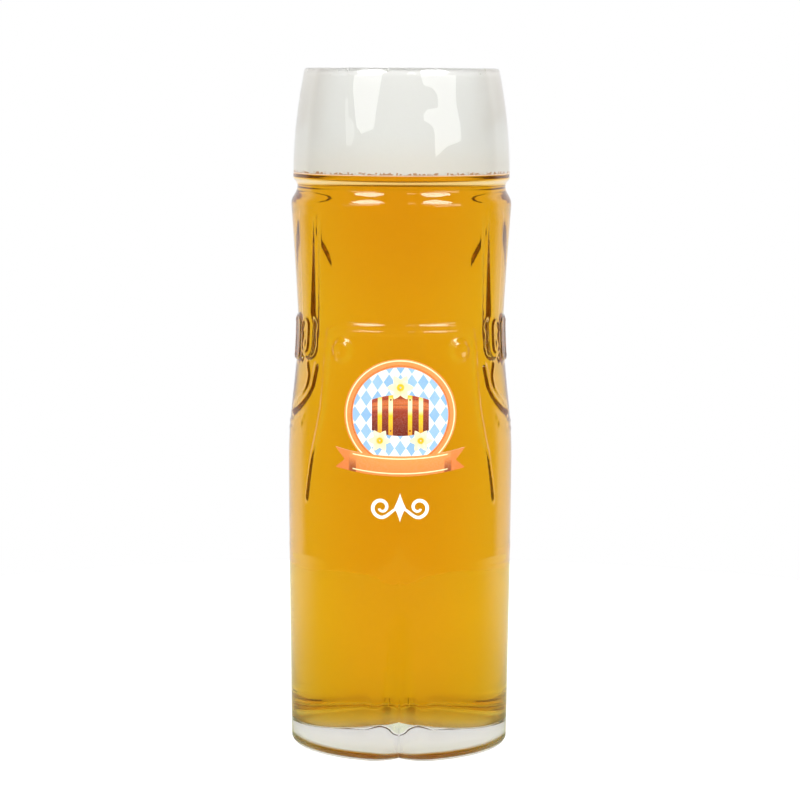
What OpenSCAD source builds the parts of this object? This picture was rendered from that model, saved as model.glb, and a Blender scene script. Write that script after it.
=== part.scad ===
// Half-litre beer glass moulded as a pair of leather breeches, full, with a printed medallion.
// The front faces -Y. The origin is on the table, under the middle of the glass.

/* [Outline] */
// Height of the glass from the table to the rim
glass_h = 222; // [200:1:250]
// Diameter at the hips, the widest place
hip_d = 73.6; // [66:0.2:82]
// Height of the hips over the glass's height
hip_up_share = 0.428; // [0.38:0.002:0.47]
// Height of the waist, the narrowest place, over the glass's height
waist_up_share = 0.6306; // [0.6:0.0002:0.655]
// Height of the crest of the shoulder over the glass's height
shoulder_up_share = 0.8062; // [0.78:0.0002:0.809]
// Height of the bottom of the groove under the head band over the glass's height
groove_up_share = 0.8244; // [0.822:0.0002:0.8268]
// Height of the groove's flat bottom over the glass's height
groove_flat_share = 0.0066; // [0.004:0.0002:0.009]
// Height of the lower edge of the head band over the glass's height
head_up_share = 0.8402; // [0.838:0.0002:0.846]
// Diameter above the rounded edge of the foot over the diameter at the hips
foot_share = 0.9688; // [0.92:0.0002:0.99]
// Diameter at the waist over the diameter at the hips
waist_share = 0.9144; // [0.88:0.0002:0.94]
// Diameter at the crest of the shoulder over the diameter at the hips
shoulder_share = 0.9796; // [0.955:0.0002:1]
// Diameter at the bottom of the groove over the diameter at the hips
groove_share = 0.924; // [0.904:0.0002:0.944]
// Diameter at the lower edge of the head band over the diameter at the hips
head_share = 0.9606; // [0.94:0.0002:0.99]
// Outer diameter of the rim over the diameter at the hips
rim_share = 0.8586; // [0.82:0.0002:0.91]

/* [Glass] */
// Thickness of the wall from the foot to the shoulder
wall = 3.6; // [2.4:0.1:4]
// Thickness of the wall at the bottom of the groove
groove_wall = 2.5; // [2:0.1:3]
// Thickness of the wall at the rim
rim_wall = 2; // [1.6:0.1:2.6]
// Thickness of the solid base
base_t = 11; // [8:0.5:14]
// Radius of the rounded edge of the foot
foot_round = 2.1; // [1.4:0.1:3]
// Radius of the corner between the wall and the floor inside
floor_round = 2.5; // [1.5:0.5:5]
// Diameter of the hollow under the base over the diameter of the foot
punt_share = 0.645; // [0.5:0.005:0.7]
// Depth of the hollow under the base
punt_h = 1.4; // [0.8:0.1:2.4]

/* [Two legs] */
// Radius of the rounded leg on each side of the notch over the radius of the foot
leg_share = 0.334; // [0.32:0.001:0.352]
// Angle of each leg from the middle of the front
leg_turn = 22; // [20:0.5:24]
// Distance of each leg's axis from the middle of the glass over the radius of the foot
leg_out_share = 0.67; // [0.654:0.001:0.676]
// Lean of the notch, which makes it run out upwards
notch_lean = 7.9; // [7:0.1:9]
// Half the width of the ridge that the notch makes inside over the radius of the foot
ridge_half_share = 0.309; // [0.255:0.002:0.375]
// Depth of the ridge inside, at the floor, over the radius of the foot
ridge_in_share = 0.2; // [0.17:0.002:0.23]

/* [Braces] */
// Width of a front brace
brace_w = 11.4; // [9:0.2:13]
// Angle of a front brace from the middle of the front
brace_turn = 58; // [56:0.5:60]
// Height of a brace over the glass around it
brace_t = 0.9; // [0.6:0.05:1.2]
// Height of the tip of a front brace over the glass's height
tab_share = 0.5766; // [0.56:0.001:0.58]
// Width of a back brace
back_brace_w = 8; // [6:0.2:10]
// Angle of the tip of a back brace from the middle of the back
back_brace_turn = 17.5; // [15:0.5:22]
// Height of the tip of a back brace over the glass's height
back_tip_share = 0.707; // [0.68:0.001:0.725]

/* [Belt, flap and pockets] */
// Angle of a belt loop from the middle of the front
loop_turn = 74; // [72:0.5:79]
// Height of the belt's lower edge over the glass's height
belt_share = 0.5734; // [0.554:0.0002:0.58]
// Height of the belt from its lower to its upper edge
belt_w = 14.9; // [12:0.1:17]
// Height of the belt over the glass around it
belt_t = 0.65; // [0.4:0.05:1]
// Half the width of the front flap at its top over the radius at the hips
flap_half_share = 0.666; // [0.6:0.002:0.7]
// Height of the top edge of the front flap over the glass's height
flap_top_share = 0.6324; // [0.62:0.0002:0.64]
// Height of the lower ends of the front flap's seams over the glass's height
flap_low_share = 0.376; // [0.342:0.002:0.404]
// Width of the raised seams
seam_w = 0.9; // [0.6:0.05:1.2]
// Height of the raised seams over the glass around them
seam_t = 0.5; // [0.35:0.05:0.8]
// Diameter of a flap button
button_d = 6.6; // [5:0.2:8]
// Height of a button's dome
button_t = 1.3; // [0.8:0.1:1.6]
// Distance of a button from the middle of the front over the radius at the hips
button_out_share = 0.508; // [0.46:0.002:0.54]
// Height of the middle of a button over the glass's height
button_up_share = 0.5968; // [0.586:0.0002:0.603]
// Radius of the curved mouth of a pocket
pocket_r = 15.5; // [13:0.5:17]
// Height of the seam across the bottom of the pocket's mouth over the glass's height
pocket_share = 0.4838; // [0.464:0.0002:0.49]
// Height of the seam of the hem over the glass's height
hem_share = 0.293; // [0.26:0.001:0.324]

/* [Drink] */
// Height of the beer over the glass's height
beer_share = 0.8468; // [0.843:0.0002:0.855]
// Distance from the foam's edge up to the rim
foam_gap = 0.8; // [0.4:0.1:1.2]
// Depth that the middle of the foam has sunk
foam_sink = 5.6; // [5:0.1:8]

/* [Print] */
// Diameter of the printed medallion
medal_d = 35.5; // [32:0.5:38]
// Height of the middle of the medallion over the glass's height
medal_up_share = 0.5072; // [0.502:0.0002:0.512]
// Width of the medallion's rim
medal_rim = 2.6; // [2:0.1:3.4]
// Width of one lozenge of the pattern
lozenge_w = 3.6; // [3.2:0.1:4.4]
// Height of one lozenge of the pattern
lozenge_h = 5.2; // [4.6:0.1:6]
// Length of the printed barrel
barrel_w = 18; // [15:0.5:20]
// Height of the printed barrel
barrel_h = 13; // [11:0.5:14]
// Length of the ribbon under the medallion
ribbon_w = 41; // [36:0.5:43]
// Height of the ribbon
ribbon_h = 6.4; // [5:0.2:7.5]
// Width of the flourish below the medallion
flourish_w = 19; // [16:0.5:21]
// Height of the middle of the flourish over the glass's height
flourish_up_share = 0.3748; // [0.37:0.0002:0.379]
// Width of the flourish's line
flourish_line = 0.9; // [0.6:0.1:1.1]

/* [Hidden] */

$fn = 72;
// Overrun of every cut past the face that it opens
over = 1;
// Height of one straight step of the outline
step_z = 4;
// Steps in each flank of the groove
flank_steps = 5;
// How far a raised piece reaches into the glass that carries it
bite = 1.2;
// Clearance all round the drink
film = 0.05;
// Thickness of one layer of ink
ink = 0.12;
// Bend of the outline over the thigh, the chest and the head band
thigh_bend_share = 1.4;
chest_bend_share = 1.15;
head_bend_share = 2;
// Width of the foam's slope over its depth, and how the slope bends
dish_slope_share = 0.9;
dish_bend_share = 1.6;

// Radii of the outline
hip_r = hip_d / 2;
foot_r = hip_r * foot_share;
waist_r = hip_r * waist_share;
shoulder_r = hip_r * shoulder_share;
groove_r = hip_r * groove_share;
head_r = hip_r * head_share;
rim_r = hip_r * rim_share;
punt_r = foot_r * punt_share;

// Heights of the outline and of what is moulded or printed on it
hip_z = glass_h * hip_up_share;
waist_z = glass_h * waist_up_share;
shoulder_z = glass_h * shoulder_up_share;
groove_z = glass_h * groove_up_share;
groove_top = glass_h * (groove_up_share + groove_flat_share);
head_z = glass_h * head_up_share;
tab_z = glass_h * tab_share;
back_tip_z = glass_h * back_tip_share;
belt_z = glass_h * belt_share;
flap_z = glass_h * flap_top_share;
flap_low_z = glass_h * flap_low_share;
button_z = glass_h * button_up_share;
pocket_z = glass_h * pocket_share;
hem_z = glass_h * hem_share;
beer_z = glass_h * beer_share;
medal_z = glass_h * medal_up_share;
flourish_z = glass_h * flourish_up_share;

// Sizes of the legs, the flap and the buttons that follow the width of the glass
leg_r = foot_r * leg_share;
leg_out = foot_r * leg_out_share;
ridge_half = foot_r * ridge_half_share;
ridge_in = foot_r * ridge_in_share;
flap_half = hip_r * flap_half_share;
button_x = hip_r * button_out_share;
// Length of every cutter that runs out through the wall
reach = hip_r + bite + over;

function ease(t) = t * t * (3 - 2 * t);
function part_of(z, low, high) = (z - low) / (high - low);
function between(a, b, t) = a + (b - a) * t;
function steps(low, high, n) = [for (i = [0:n]) between(low, high, i / n)];
function counted(low, high) = steps(low, high, max(2, round((high - low) / step_z)));

// Outer radius of the plain glass at height z
function outer_r(z) =
    z < hip_z ? between(hip_r, foot_r, pow(1 - part_of(z, 0, hip_z), thigh_bend_share))
    : z < waist_z ? between(hip_r, waist_r, ease(part_of(z, hip_z, waist_z)))
    : z < shoulder_z ? between(waist_r, shoulder_r, pow(part_of(z, waist_z, shoulder_z), chest_bend_share))
    : z < groove_z ? between(shoulder_r, groove_r, ease(part_of(z, shoulder_z, groove_z)))
    : z < groove_top ? groove_r
    : z < head_z ? between(groove_r, head_r, ease(part_of(z, groove_top, head_z)))
    : between(head_r, rim_r, pow(part_of(z, head_z, glass_h), head_bend_share));

// Thickness of the glass at height z
function wall_at(z) =
    z < shoulder_z ? wall
    : z < groove_z ? between(wall, groove_wall, ease(part_of(z, shoulder_z, groove_z)))
    : between(groove_wall, rim_wall, part_of(z, groove_z, glass_h));

function inner_r(z) = outer_r(z) - wall_at(z);

outline_z = concat(counted(foot_round, hip_z), counted(hip_z, waist_z), counted(waist_z, shoulder_z),
    steps(shoulder_z, groove_z, flank_steps), steps(groove_top, head_z, flank_steps),
    counted(head_z, glass_h - rim_wall / 2));

function within(low, high) = concat([low], [for (z = outline_z) if (z > low && z < high) z], [high]);
function up(low, high, lift) = [for (z = within(low, high)) [outer_r(z) + lift, z]];
function flip(points) = [for (i = [len(points) - 1:-1:0]) points[i]];
function arc(x, z, r, from, to, n) = [for (i = [0:n]) let (a = between(from, to, i / n))
    [x + r * cos(a), z + r * sin(a)]];

// Quarter circles of the rounded edges have this many steps
round_steps = 5;

module blank() {
    foot_top = outer_r(foot_round);
    rim_half = rim_wall / 2;
    rotate_extrude()
        polygon(concat([[0, 0]], arc(foot_top - foot_round, foot_round, foot_round, -90, 0, round_steps),
            up(foot_round, glass_h - rim_half, 0),
            arc(rim_r - rim_half, glass_h - rim_half, rim_half, 0, 90, round_steps), [[0, glass_h]]));
}

// The room inside, from the floor to height top, smaller by gap all round
module room(top, gap) {
    floor_z = base_t + gap;
    bend_z = base_t + floor_round;
    bend_r = inner_r(bend_z) - gap;
    side = [for (z = within(bend_z, top)) [inner_r(z) - gap, z]];
    rotate_extrude()
        polygon(concat([[0, floor_z]],
            arc(bend_r - floor_round, bend_z + gap, floor_round, -90, 0, round_steps),
            [for (i = [1:len(side) - 1]) side[i]], [[0, top]]));
}

// A thin shell that follows the outline, lifted off it, between two heights
module skin(lift, depth, low, high) {
    rotate_extrude()
        polygon(concat(up(low, high, lift), flip(up(low, high, -depth))));
}

// Cuts its flat children, drawn as x and z, out of a block that faces the given way
module facing(turn) {
    rotate([0, 0, turn]) rotate([90, 0, 0]) linear_extrude(reach) children();
}

// Glass raised by lift in the shape of the flat children
module raised(lift, turn, low, high) {
    intersection() {
        skin(lift, bite, low, high);
        facing(turn) children();
    }
}

// One notch between the legs, opened as two round legs that lean outwards
module notch() {
    across = leg_out * sin(leg_turn);
    ahead = leg_out * cos(leg_turn);
    half = across + leg_r / 2.4;
    rotate([notch_lean, 0, 0])
        linear_extrude(hip_z)
            difference() {
                translate([-half, -reach - hip_r]) square([2 * half, reach + hip_r - ahead]);
                for (side = [-1, 1])
                    translate([side * across, -ahead]) circle(leg_r);
            }
}

// The ridge that the notch leaves inside the wall, larger by gap all round
module ridge(gap) {
    tip = foot_r - wall - ridge_in - gap;
    half = ridge_half + gap;
    wave = [for (i = [-6:6]) [half * i / 6, -tip - (ridge_in + wall / 2) * ease(abs(i) / 6)]];
    rotate([notch_lean, 0, 0])
        linear_extrude(hip_z)
            polygon(concat(wave, [[half, -reach - hip_r], [-half, -reach - hip_r]]));
}

module both_ways() {
    for (turn = [0, 180])
        rotate([0, 0, turn]) children();
}

module cup(top, gap) {
    difference() {
        room(top, gap);
        both_ways() ridge(gap);
    }
}

// A strip with a round end at its foot
module tongue(w, low, high) {
    translate([-w / 2, low + w / 2]) square([w, high - low - w / 2]);
    translate([0, low + w / 2]) circle(w / 2);
}

// A strip with a pointed end at its foot
module pointed(w, low, high) {
    polygon([[0, low], [w / 2, low + w], [w / 2, high], [-w / 2, high], [-w / 2, low + w]]);
}

module braces() {
    high = shoulder_z - over;
    for (side = [-1, 1]) {
        raised(brace_t, side * brace_turn, tab_z - over, shoulder_z)
            tongue(brace_w, tab_z, high);
        raised(brace_t, 180 + side * (back_brace_turn + 4), back_tip_z - over, shoulder_z)
            pointed(back_brace_w, back_tip_z, high);
    }
}

module belt() {
    top = belt_z + belt_w;
    side_half = hip_r * sin(90 - brace_turn) - brace_w / 3;
    for (side = [-1, 1])
        raised(belt_t, side * 90, belt_z - over, top + over)
            translate([-side_half, belt_z]) square([2 * side_half, belt_w]);
}

// Loops beside the braces, which the belt runs through
module belt_loops() {
    loop_w = 4 * seam_w;
    low = belt_z - over;
    high = belt_z + belt_w + over;
    for (side = [-1, 1])
        for (end = [-1, 1])
            raised(belt_t + seam_t, side * (90 + end * (loop_turn - 90)), low, high)
                translate([0, belt_z + belt_w / 2]) ring(loop_w, belt_w - seam_w, seam_w);
}

// A ring that a button, a buckle or a belt loop leaves in the glass
module ring(w, h, thick) {
    difference() {
        tongue_pair(w, h);
        tongue_pair(w - 2 * thick, h - 2 * thick);
    }
}

module tongue_pair(w, h) {
    translate([-w / 2, (w - h) / 2]) square([w, h - w]);
    for (end = [-1, 1])
        translate([0, end * (h - w) / 2]) circle(w / 2);
}

// The rim of the tab and a round stud on it
module buckles() {
    stud_z = tab_z + brace_w / 2;
    for (side = [-1, 1]) {
        raised(brace_t + seam_t, side * brace_turn, tab_z - over, belt_z + belt_w + over)
            translate([0, stud_z + brace_w / 4])
                ring(brace_w - 2 * seam_w, belt_w - 2 * seam_w, seam_w);
        rotate([0, 0, side * brace_turn]) dome(outer_r(stud_z) + brace_t, stud_z, button_d * 0.6);
    }
}

// A round button that stands out of the surface at radius r
module dome(r, z, d) {
    ball = (d * d / 4 + button_t * button_t) / (2 * button_t);
    translate([0, -r - button_t + ball, z]) sphere(ball);
}

module buttons() {
    turn = asin(button_x / outer_r(button_z));
    for (side = [-1, 1])
        rotate([0, 0, side * turn]) dome(outer_r(button_z), button_z, button_d);
}

// Outline of the front flap, drawn in by inset
module flap_outline(inset) {
    corner = seam_w * 4;
    drop = flap_z - flap_low_z;
    side_shares = [[1.23, 1], [1.17, 0.75], [1.11, 0.63], [1.05, 0.48], [1.01, 0.3]];
    half = flap_half - inset;
    high = flap_z - inset;
    right = concat([for (s = side_shares) [flap_half * s[0] - inset, flap_z - drop * s[1]]],
        arc(half - corner, high - corner, corner, 0, 90, round_steps));
    polygon(concat(right, [for (p = flip(right)) [-p[0], p[1]]]));
}

module flap() {
    raised(seam_t, 0, flap_low_z, flap_z + over)
        difference() {
            flap_outline(0);
            flap_outline(seam_w * 0.75);
            translate([-reach, flap_low_z - over]) square([2 * reach, over]);
        }
}

// The curved mouth of a pocket, and the straight seam below it that runs round the side
module pockets() {
    welt = 2 * seam_w;
    turn = brace_turn + 5.5;
    low = pocket_z + 1.5 * welt;
    for (side = [-1, 1]) {
        raised(seam_t, side * turn, low - over, low + pocket_r + over)
            translate([side * pocket_r * 0.55, low + pocket_r])
                intersection() {
                    difference() {
                        circle(pocket_r);
                        circle(pocket_r - welt);
                    }
                    translate([-side * pocket_r / 2, -pocket_r / 2]) square(pocket_r, center = true);
                }
        raised(seam_t, side * 90, pocket_z - over, pocket_z + welt + over)
            translate([-hip_r * 0.44, pocket_z]) square([hip_r * 0.88, welt]);
    }
}

module hems() {
    for (side = [-1, 1])
        raised(seam_t, side * 90, hem_z - over, hem_z + seam_w + over)
            translate([-hip_r * 0.76, hem_z]) square([2 * hip_r * 0.76, seam_w]);
}

module glass_body() {
    color([0.86, 0.92, 0.93, 0.35])
        difference() {
            union() {
                blank();
                braces();
                belt();
                belt_loops();
                buckles();
                buttons();
                flap();
                pockets();
                hems();
            }
            cup(glass_h + over, 0);
            both_ways() notch();
            translate([0, 0, -over]) cylinder(punt_h + over, punt_r, punt_r - punt_h);
        }
}

module beer() {
    color([0.87, 0.55, 0.06, 0.8]) cup(beer_z, film);
}

// The foam fills the head band and has sunk in the middle, in a flat dish with sloping sides
module foam_head() {
    top = glass_h - foam_gap - film;
    edge_in = inner_r(top) - foam_gap;
    floor_in = edge_in - foam_sink * dish_slope_share;
    slope = [for (t = steps(0, 1, 6))
        [between(floor_in, edge_in, t), top - foam_sink * (1 - pow(t, dish_bend_share))]];
    color([0.96, 0.95, 0.91])
        difference() {
            intersection() {
                room(top, film);
                translate([0, 0, beer_z + film]) cylinder(glass_h, reach, reach);
            }
            rotate_extrude()
                polygon(concat([[0, top - foam_sink]], slope, [[edge_in, top + over], [0, top + over]]));
        }
}

// Ink in the shape of the flat children, on top of so many other layers
module printed(layer, low, high) {
    intersection() {
        skin((layer + 1) * ink, -layer * ink, low, high);
        facing(0) children();
    }
}

print_top = medal_z + medal_d / 2 + over;
ribbon_z = medal_z - medal_d / 2 + ribbon_h * 0.25;
print_low = ribbon_z - ribbon_h;

module disc(d) {
    translate([0, medal_z]) circle(d / 2);
}

// A ribbon with notched ends, bent down at both sides
module ribbon_shape() {
    half = ribbon_w / 2;
    sag = ribbon_h * 0.35;
    tail = half - ribbon_h * 0.45;
    low = [for (i = [-6:6]) [half * i / 6, ribbon_z - ribbon_h / 2 + sag * pow(i / 6, 2)]];
    high = [for (i = [6:-1:-6]) [half * i / 6, ribbon_z + ribbon_h / 2 + sag * pow(i / 6, 2)]];
    polygon(concat(low, [[tail, ribbon_z + sag * 0.7]], high, [[-tail, ribbon_z + sag * 0.7]]));
}

// A barrel that lies on its side
module barrel_shape(grow) {
    half = barrel_w / 2 + grow;
    belly = barrel_h / 2 + grow;
    end = belly * 0.74;
    high = [for (i = [-6:6]) [half * i / 6, between(belly, end, pow(i / 6, 2))]];
    translate([0, medal_z])
        polygon(concat(high, [for (p = flip(high)) [p[0], -p[1]]]));
}

module hoops_shape() {
    hoop = barrel_w * 0.075;
    intersection() {
        barrel_shape(0);
        union() {
            for (place = [-0.36, -0.17, 0.17, 0.36])
                translate([barrel_w * place - hoop / 2, medal_z - barrel_h]) square([hoop, 2 * barrel_h]);
        }
    }
}

// A star-shaped alpine flower with rounded petals
module flower_shape(x, z, r) {
    petal = [[0, -r * 0.12], [r * 0.55, -r * 0.26], [r, 0], [r * 0.55, r * 0.26], [0, r * 0.12]];
    translate([x, z])
        for (turn = [0:60:300])
            rotate(turn) polygon(petal);
}

module flowers_shape() {
    spread = barrel_w * 0.36;
    lift = barrel_h * 0.62;
    for (side = [-1, 1])
        flower_shape(side * spread, medal_z - lift, medal_d * 0.105);
    flower_shape(0, medal_z + lift + medal_d * 0.02, medal_d * 0.12);
}

module inner_shapes(grow) {
    barrel_shape(grow);
    flowers_shape();
}

module lozenges_shape() {
    rows = ceil(medal_d / 2 / lozenge_h);
    columns = ceil(medal_d / 2 / lozenge_w);
    difference() {
        intersection() {
            disc(medal_d - 2 * medal_rim);
            translate([0, medal_z])
                for (row = [-rows:rows])
                    for (column = [-columns:columns])
                        translate([column * lozenge_w, row * lozenge_h]) lozenge();
        }
        inner_shapes(0);
        ribbon_shape();
    }
}

// One lozenge, a little smaller than its place so that its corners stay apart
module lozenge() {
    w = lozenge_w - ink;
    h = lozenge_h - ink;
    polygon([[w / 2, 0], [0, h / 2], [-w / 2, 0], [0, -h / 2]]);
}

module print_underbase() {
    color("white") printed(0, print_low - over, print_top)
        union() {
            disc(medal_d);
            ribbon_shape();
        }
}

module print_lozenges() {
    color([0.45, 0.68, 0.87]) printed(1, print_low, print_top) lozenges_shape();
}

module print_medal_rim() {
    color([0.95, 0.55, 0.27]) printed(1, print_low, print_top)
        difference() {
            disc(medal_d);
            disc(medal_d - 2 * medal_rim);
            ribbon_shape();
        }
}

module print_ribbon() {
    color([0.96, 0.6, 0.3]) printed(1, print_low - over, print_top) ribbon_shape();
}

module print_barrel() {
    color([0.66, 0.25, 0.12]) printed(1, print_low, print_top)
        difference() {
            barrel_shape(0);
            hoops_shape();
            flowers_shape();
        }
}

module print_hoops() {
    color([0.98, 0.8, 0.2]) printed(1, print_low, print_top)
        difference() {
            hoops_shape();
            flowers_shape();
        }
}

module print_flowers() {
    color([0.99, 0.95, 0.78]) printed(1, print_low, print_top) flowers_shape();
}

// One edge of a scroll: a stroke that runs out from the middle and winds up into a curl
function scroll_edge(half) =
    let (curl_x = flourish_w * 0.31, curl_r = flourish_w * 0.17)
    concat([for (i = [0:5]) [curl_x * i / 6, half - curl_r * ease(i / 6)]],
        [for (i = [0:20]) let (r = curl_r * (1 - i * 0.034) - half, a = i * 20 - 90)
            [curl_x + r * cos(a), r * sin(a)]]);

module scroll() {
    polygon(concat(scroll_edge(flourish_line / 2), flip(scroll_edge(-flourish_line / 2))));
}

module print_flourish() {
    color("white") printed(0, flourish_z - flourish_w / 3, flourish_z + flourish_w / 3)
        translate([0, flourish_z]) {
            scroll();
            mirror([1, 0]) scroll();
            polygon([for (turn = [0:90:270]) [lozenge_w / 2 * cos(turn), flourish_w / 4 * sin(turn)]]);
        }
}

glass_body();
beer();
foam_head();
print_underbase();
print_lozenges();
print_medal_rim();
print_ribbon();
print_barrel();
print_hoops();
print_flowers();
print_flourish();
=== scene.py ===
import math

import bpy
import numpy as np
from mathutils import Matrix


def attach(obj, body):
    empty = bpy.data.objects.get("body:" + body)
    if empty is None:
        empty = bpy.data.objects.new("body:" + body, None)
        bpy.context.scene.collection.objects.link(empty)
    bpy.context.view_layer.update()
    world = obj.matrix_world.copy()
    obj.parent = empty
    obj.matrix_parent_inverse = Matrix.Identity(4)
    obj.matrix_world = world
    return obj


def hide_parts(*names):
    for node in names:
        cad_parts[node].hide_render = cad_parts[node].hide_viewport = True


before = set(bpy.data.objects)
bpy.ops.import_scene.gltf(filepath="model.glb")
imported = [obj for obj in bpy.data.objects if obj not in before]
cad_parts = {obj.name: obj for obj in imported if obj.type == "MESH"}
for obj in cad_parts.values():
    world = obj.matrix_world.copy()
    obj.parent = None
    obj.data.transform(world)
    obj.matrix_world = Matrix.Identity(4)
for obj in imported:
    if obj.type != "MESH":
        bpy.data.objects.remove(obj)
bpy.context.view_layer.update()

scene = bpy.context.scene
mm = 0.001
farAway = 99.0  # a radius past every form, where nothing is cut


class Wire:
    # one socket of a node tree; sums written with it add their nodes
    def __init__(self, graph, socket):
        self.graph = graph
        self.socket = socket

    def math(self, operation, *others):
        return self.graph.add("ShaderNodeMath", {"operation": operation}, [self, *others])

    def flipped(self, operation, other):
        return self.graph.add("ShaderNodeMath", {"operation": operation}, [other, self])

    def __add__(self, other):
        return self.math("ADD", other)

    def __radd__(self, other):
        return self.flipped("ADD", other)

    def __sub__(self, other):
        return self.math("SUBTRACT", other)

    def __rsub__(self, other):
        return self.flipped("SUBTRACT", other)

    def __mul__(self, other):
        return self.math("MULTIPLY", other)

    def __rmul__(self, other):
        return self.flipped("MULTIPLY", other)

    def __truediv__(self, other):
        return self.math("DIVIDE", other)

    def __rtruediv__(self, other):
        return self.flipped("DIVIDE", other)

    def __pow__(self, other):
        return self.math("POWER", other)

    def __abs__(self):
        return self.math("ABSOLUTE")

    def __gt__(self, other):
        return self.math("GREATER_THAN", other)

    def least(self, other):
        return self.math("MINIMUM", other)

    def most(self, other):
        return self.math("MAXIMUM", other)

    # 0 below low, 1 above high, smooth between; low may be the larger one
    def rise(self, low, high):
        settings = {"interpolation_type": "SMOOTHSTEP"}
        return self.graph.add("ShaderNodeMapRange", settings, [self, low, high, 0.0, 1.0])

    # 1 within half a width of a place, soft at both sides
    def band(self, middle, half, soft):
        return abs(self - middle).rise(half + soft, half)

    # the three parts of a vector
    def split(self):
        node = self.graph.add("ShaderNodeSeparateXYZ", {}, [self]).socket.node
        return [Wire(self.graph, socket) for socket in node.outputs]

    # other outputs of the same node
    def beside(self, *names):
        return [Wire(self.graph, self.socket.node.outputs[name]) for name in names]


class Graph:
    # a node tree whose nodes all come from add()
    def __init__(self, tree):
        self.tree = tree
        tree.nodes.clear()

    def add(self, kind, settings=None, values=None, out=None):
        node = self.tree.nodes.new(kind)
        for name, value in (settings or {}).items():
            setattr(node, name, value)
        pairs = values.items() if isinstance(values, dict) else enumerate(values or [])
        for key, value in pairs:
            if isinstance(key, int):
                socket = node.inputs[key]
            else:
                socket = next(s for s in node.inputs if s.name == key and s.enabled)
            if isinstance(value, Wire):
                self.tree.links.new(value.socket, socket)
            elif value is not None:
                socket.default_value = value
        if not node.outputs:
            return node
        if out is None:
            return Wire(self, next(s for s in node.outputs if s.enabled))
        return Wire(self, node.outputs[out])

    def mix(self, share, first, second):
        pair = [value if isinstance(value, Wire) else (*value, 1.0) for value in (first, second)]
        return self.add("ShaderNodeMix", {"data_type": "RGBA"}, {0: share, 6: pair[0], 7: pair[1]}, 2)

    def noise(self, place, scale, detail=2.0):
        return self.add("ShaderNodeTexNoise", {}, {"Vector": place, "Scale": scale, "Detail": detail})

    def bump(self, height, strength, distance):
        values = {"Strength": strength, "Distance": distance, "Height": height}
        return self.add("ShaderNodeBump", {}, values)

    def scaled(self, vector, scale):
        values = {"Vector": vector, "Scale": scale}
        return self.add("ShaderNodeVectorMath", {"operation": "SCALE"}, values)

    def joined(self, *parts):
        both = self.add("GeometryNodeJoinGeometry")
        for part in parts:
            self.tree.links.new(part.socket, both.socket.node.inputs[0])
        return both


def rgb(*levels):
    # screen colour, 0 to 255, as the shader's linear colour
    shares = [level / 255 for level in levels]
    return tuple(v / 12.92 if v < 0.0404 else ((v + 0.055) / 1.055) ** 2.4 for v in shares)


def grey(level):
    return (level,) * 3


def newMaterial(name):
    material = bpy.data.materials.new(name)
    material.use_nodes = True
    graph = Graph(material.node_tree)
    place = graph.add("ShaderNodeTexCoord", {}, {}, "Object")
    return material, graph, place


def asMillimetres(place):
    return [axis * 1000.0 for axis in place.split()]


def finishMaterial(graph, values):
    surface = graph.add("ShaderNodeBsdfPrincipled", {}, values)
    graph.add("ShaderNodeOutputMaterial", {}, {"Surface": surface})


# The outline of the glass, in millimetres, as in the CAD source

glassForm = {
    "height": 222.0, "hipZ": 95.0, "waistZ": 140.0, "shoulderZ": 179.0,
    "grooveZ": 183.0, "grooveTop": 184.5, "headZ": 186.5,
    "hipR": 36.8, "footR": 35.65, "waistR": 33.65, "shoulderR": 36.05, "grooveR": 34.0,
    "headR": 35.35, "rimR": 31.6, "thighBend": 1.4, "chestBend": 1.15, "headBend": 2.0,
    "soft": 9.0, "crisp": 3.5, "crispFrom": 182.4, "crispOver": 1.4,  # the softness of the outline's turns
    "wall": 3.6, "grooveWall": 2.5, "rimWall": 2.0, "rimRise": 0.55,
    "baseThick": 11.0, "floorRound": 2.5,
    "floorSlope": 0.18, "floorSoft": 2.0, "floorUp": 0.8, "floorFrom": 38.0,
    "footRound": 1.5, "footRoundBack": 0.8, "backFrom": 95.0, "backOver": 40.0,
    "puntR": 28.0, "puntDeep": 1.15, "puntRings": (8.0, 16.0, 22.0),
}
legForm = {
    "radius": 11.9, "turn": 22.0, "out": 23.9, "lean": 7.9,
    "past": 4.3, "pastRise": 4.0,  # a leg's inner side ends this far past its axis
    "foldSoft": 0.22, "foldRise": 2.0, "foldFrom": 2.0, "foldOver": 16.0, "foldWide": 8.0,
    "ridgeHalf": 11.0, "ridgeIn": 7.1, "ridgeRoom": 3.0, "ridgeSteep": 0.2, "ridgeSoft": 0.3,
    "ridgeSteps": 14,
}
drinkForm = {"gap": 0.05, "beerTop": 188.0, "foamGap": 0.8, "foamSink": 5.6, "slope": 0.9, "slopeBend": 1.6}


def ease(t):
    t = np.clip(t, 0.0, 1.0)
    return t * t * (3 - 2 * t)


def part(z, low, high):
    return np.clip((z - low) / (high - low), 0.0, 1.0)


def between(a, b, share):
    return a + (b - a) * share


def plainRadius(z):
    f = glassForm
    hip, waist, shoulder, groove = f["hipZ"], f["waistZ"], f["shoulderZ"], f["grooveZ"]
    zones = [  # each ends at a height and has its own curve
        (hip, between(f["hipR"], f["footR"], (1 - part(z, 0, hip)) ** f["thighBend"])),
        (waist, between(f["hipR"], f["waistR"], ease(part(z, hip, waist)))),
        (shoulder, between(f["waistR"], f["shoulderR"], part(z, waist, shoulder) ** f["chestBend"])),
        (groove, between(f["shoulderR"], f["grooveR"], ease(part(z, shoulder, groove)))),
        (f["grooveTop"], f["grooveR"] + 0 * z),
        (f["headZ"], between(f["grooveR"], f["headR"], ease(part(z, f["grooveTop"], f["headZ"])))),
    ]
    head = between(f["headR"], f["rimR"], part(z, f["headZ"], f["height"]) ** f["headBend"])
    return np.select([z < end for end, radius in zones], [radius for end, radius in zones], head)


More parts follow.
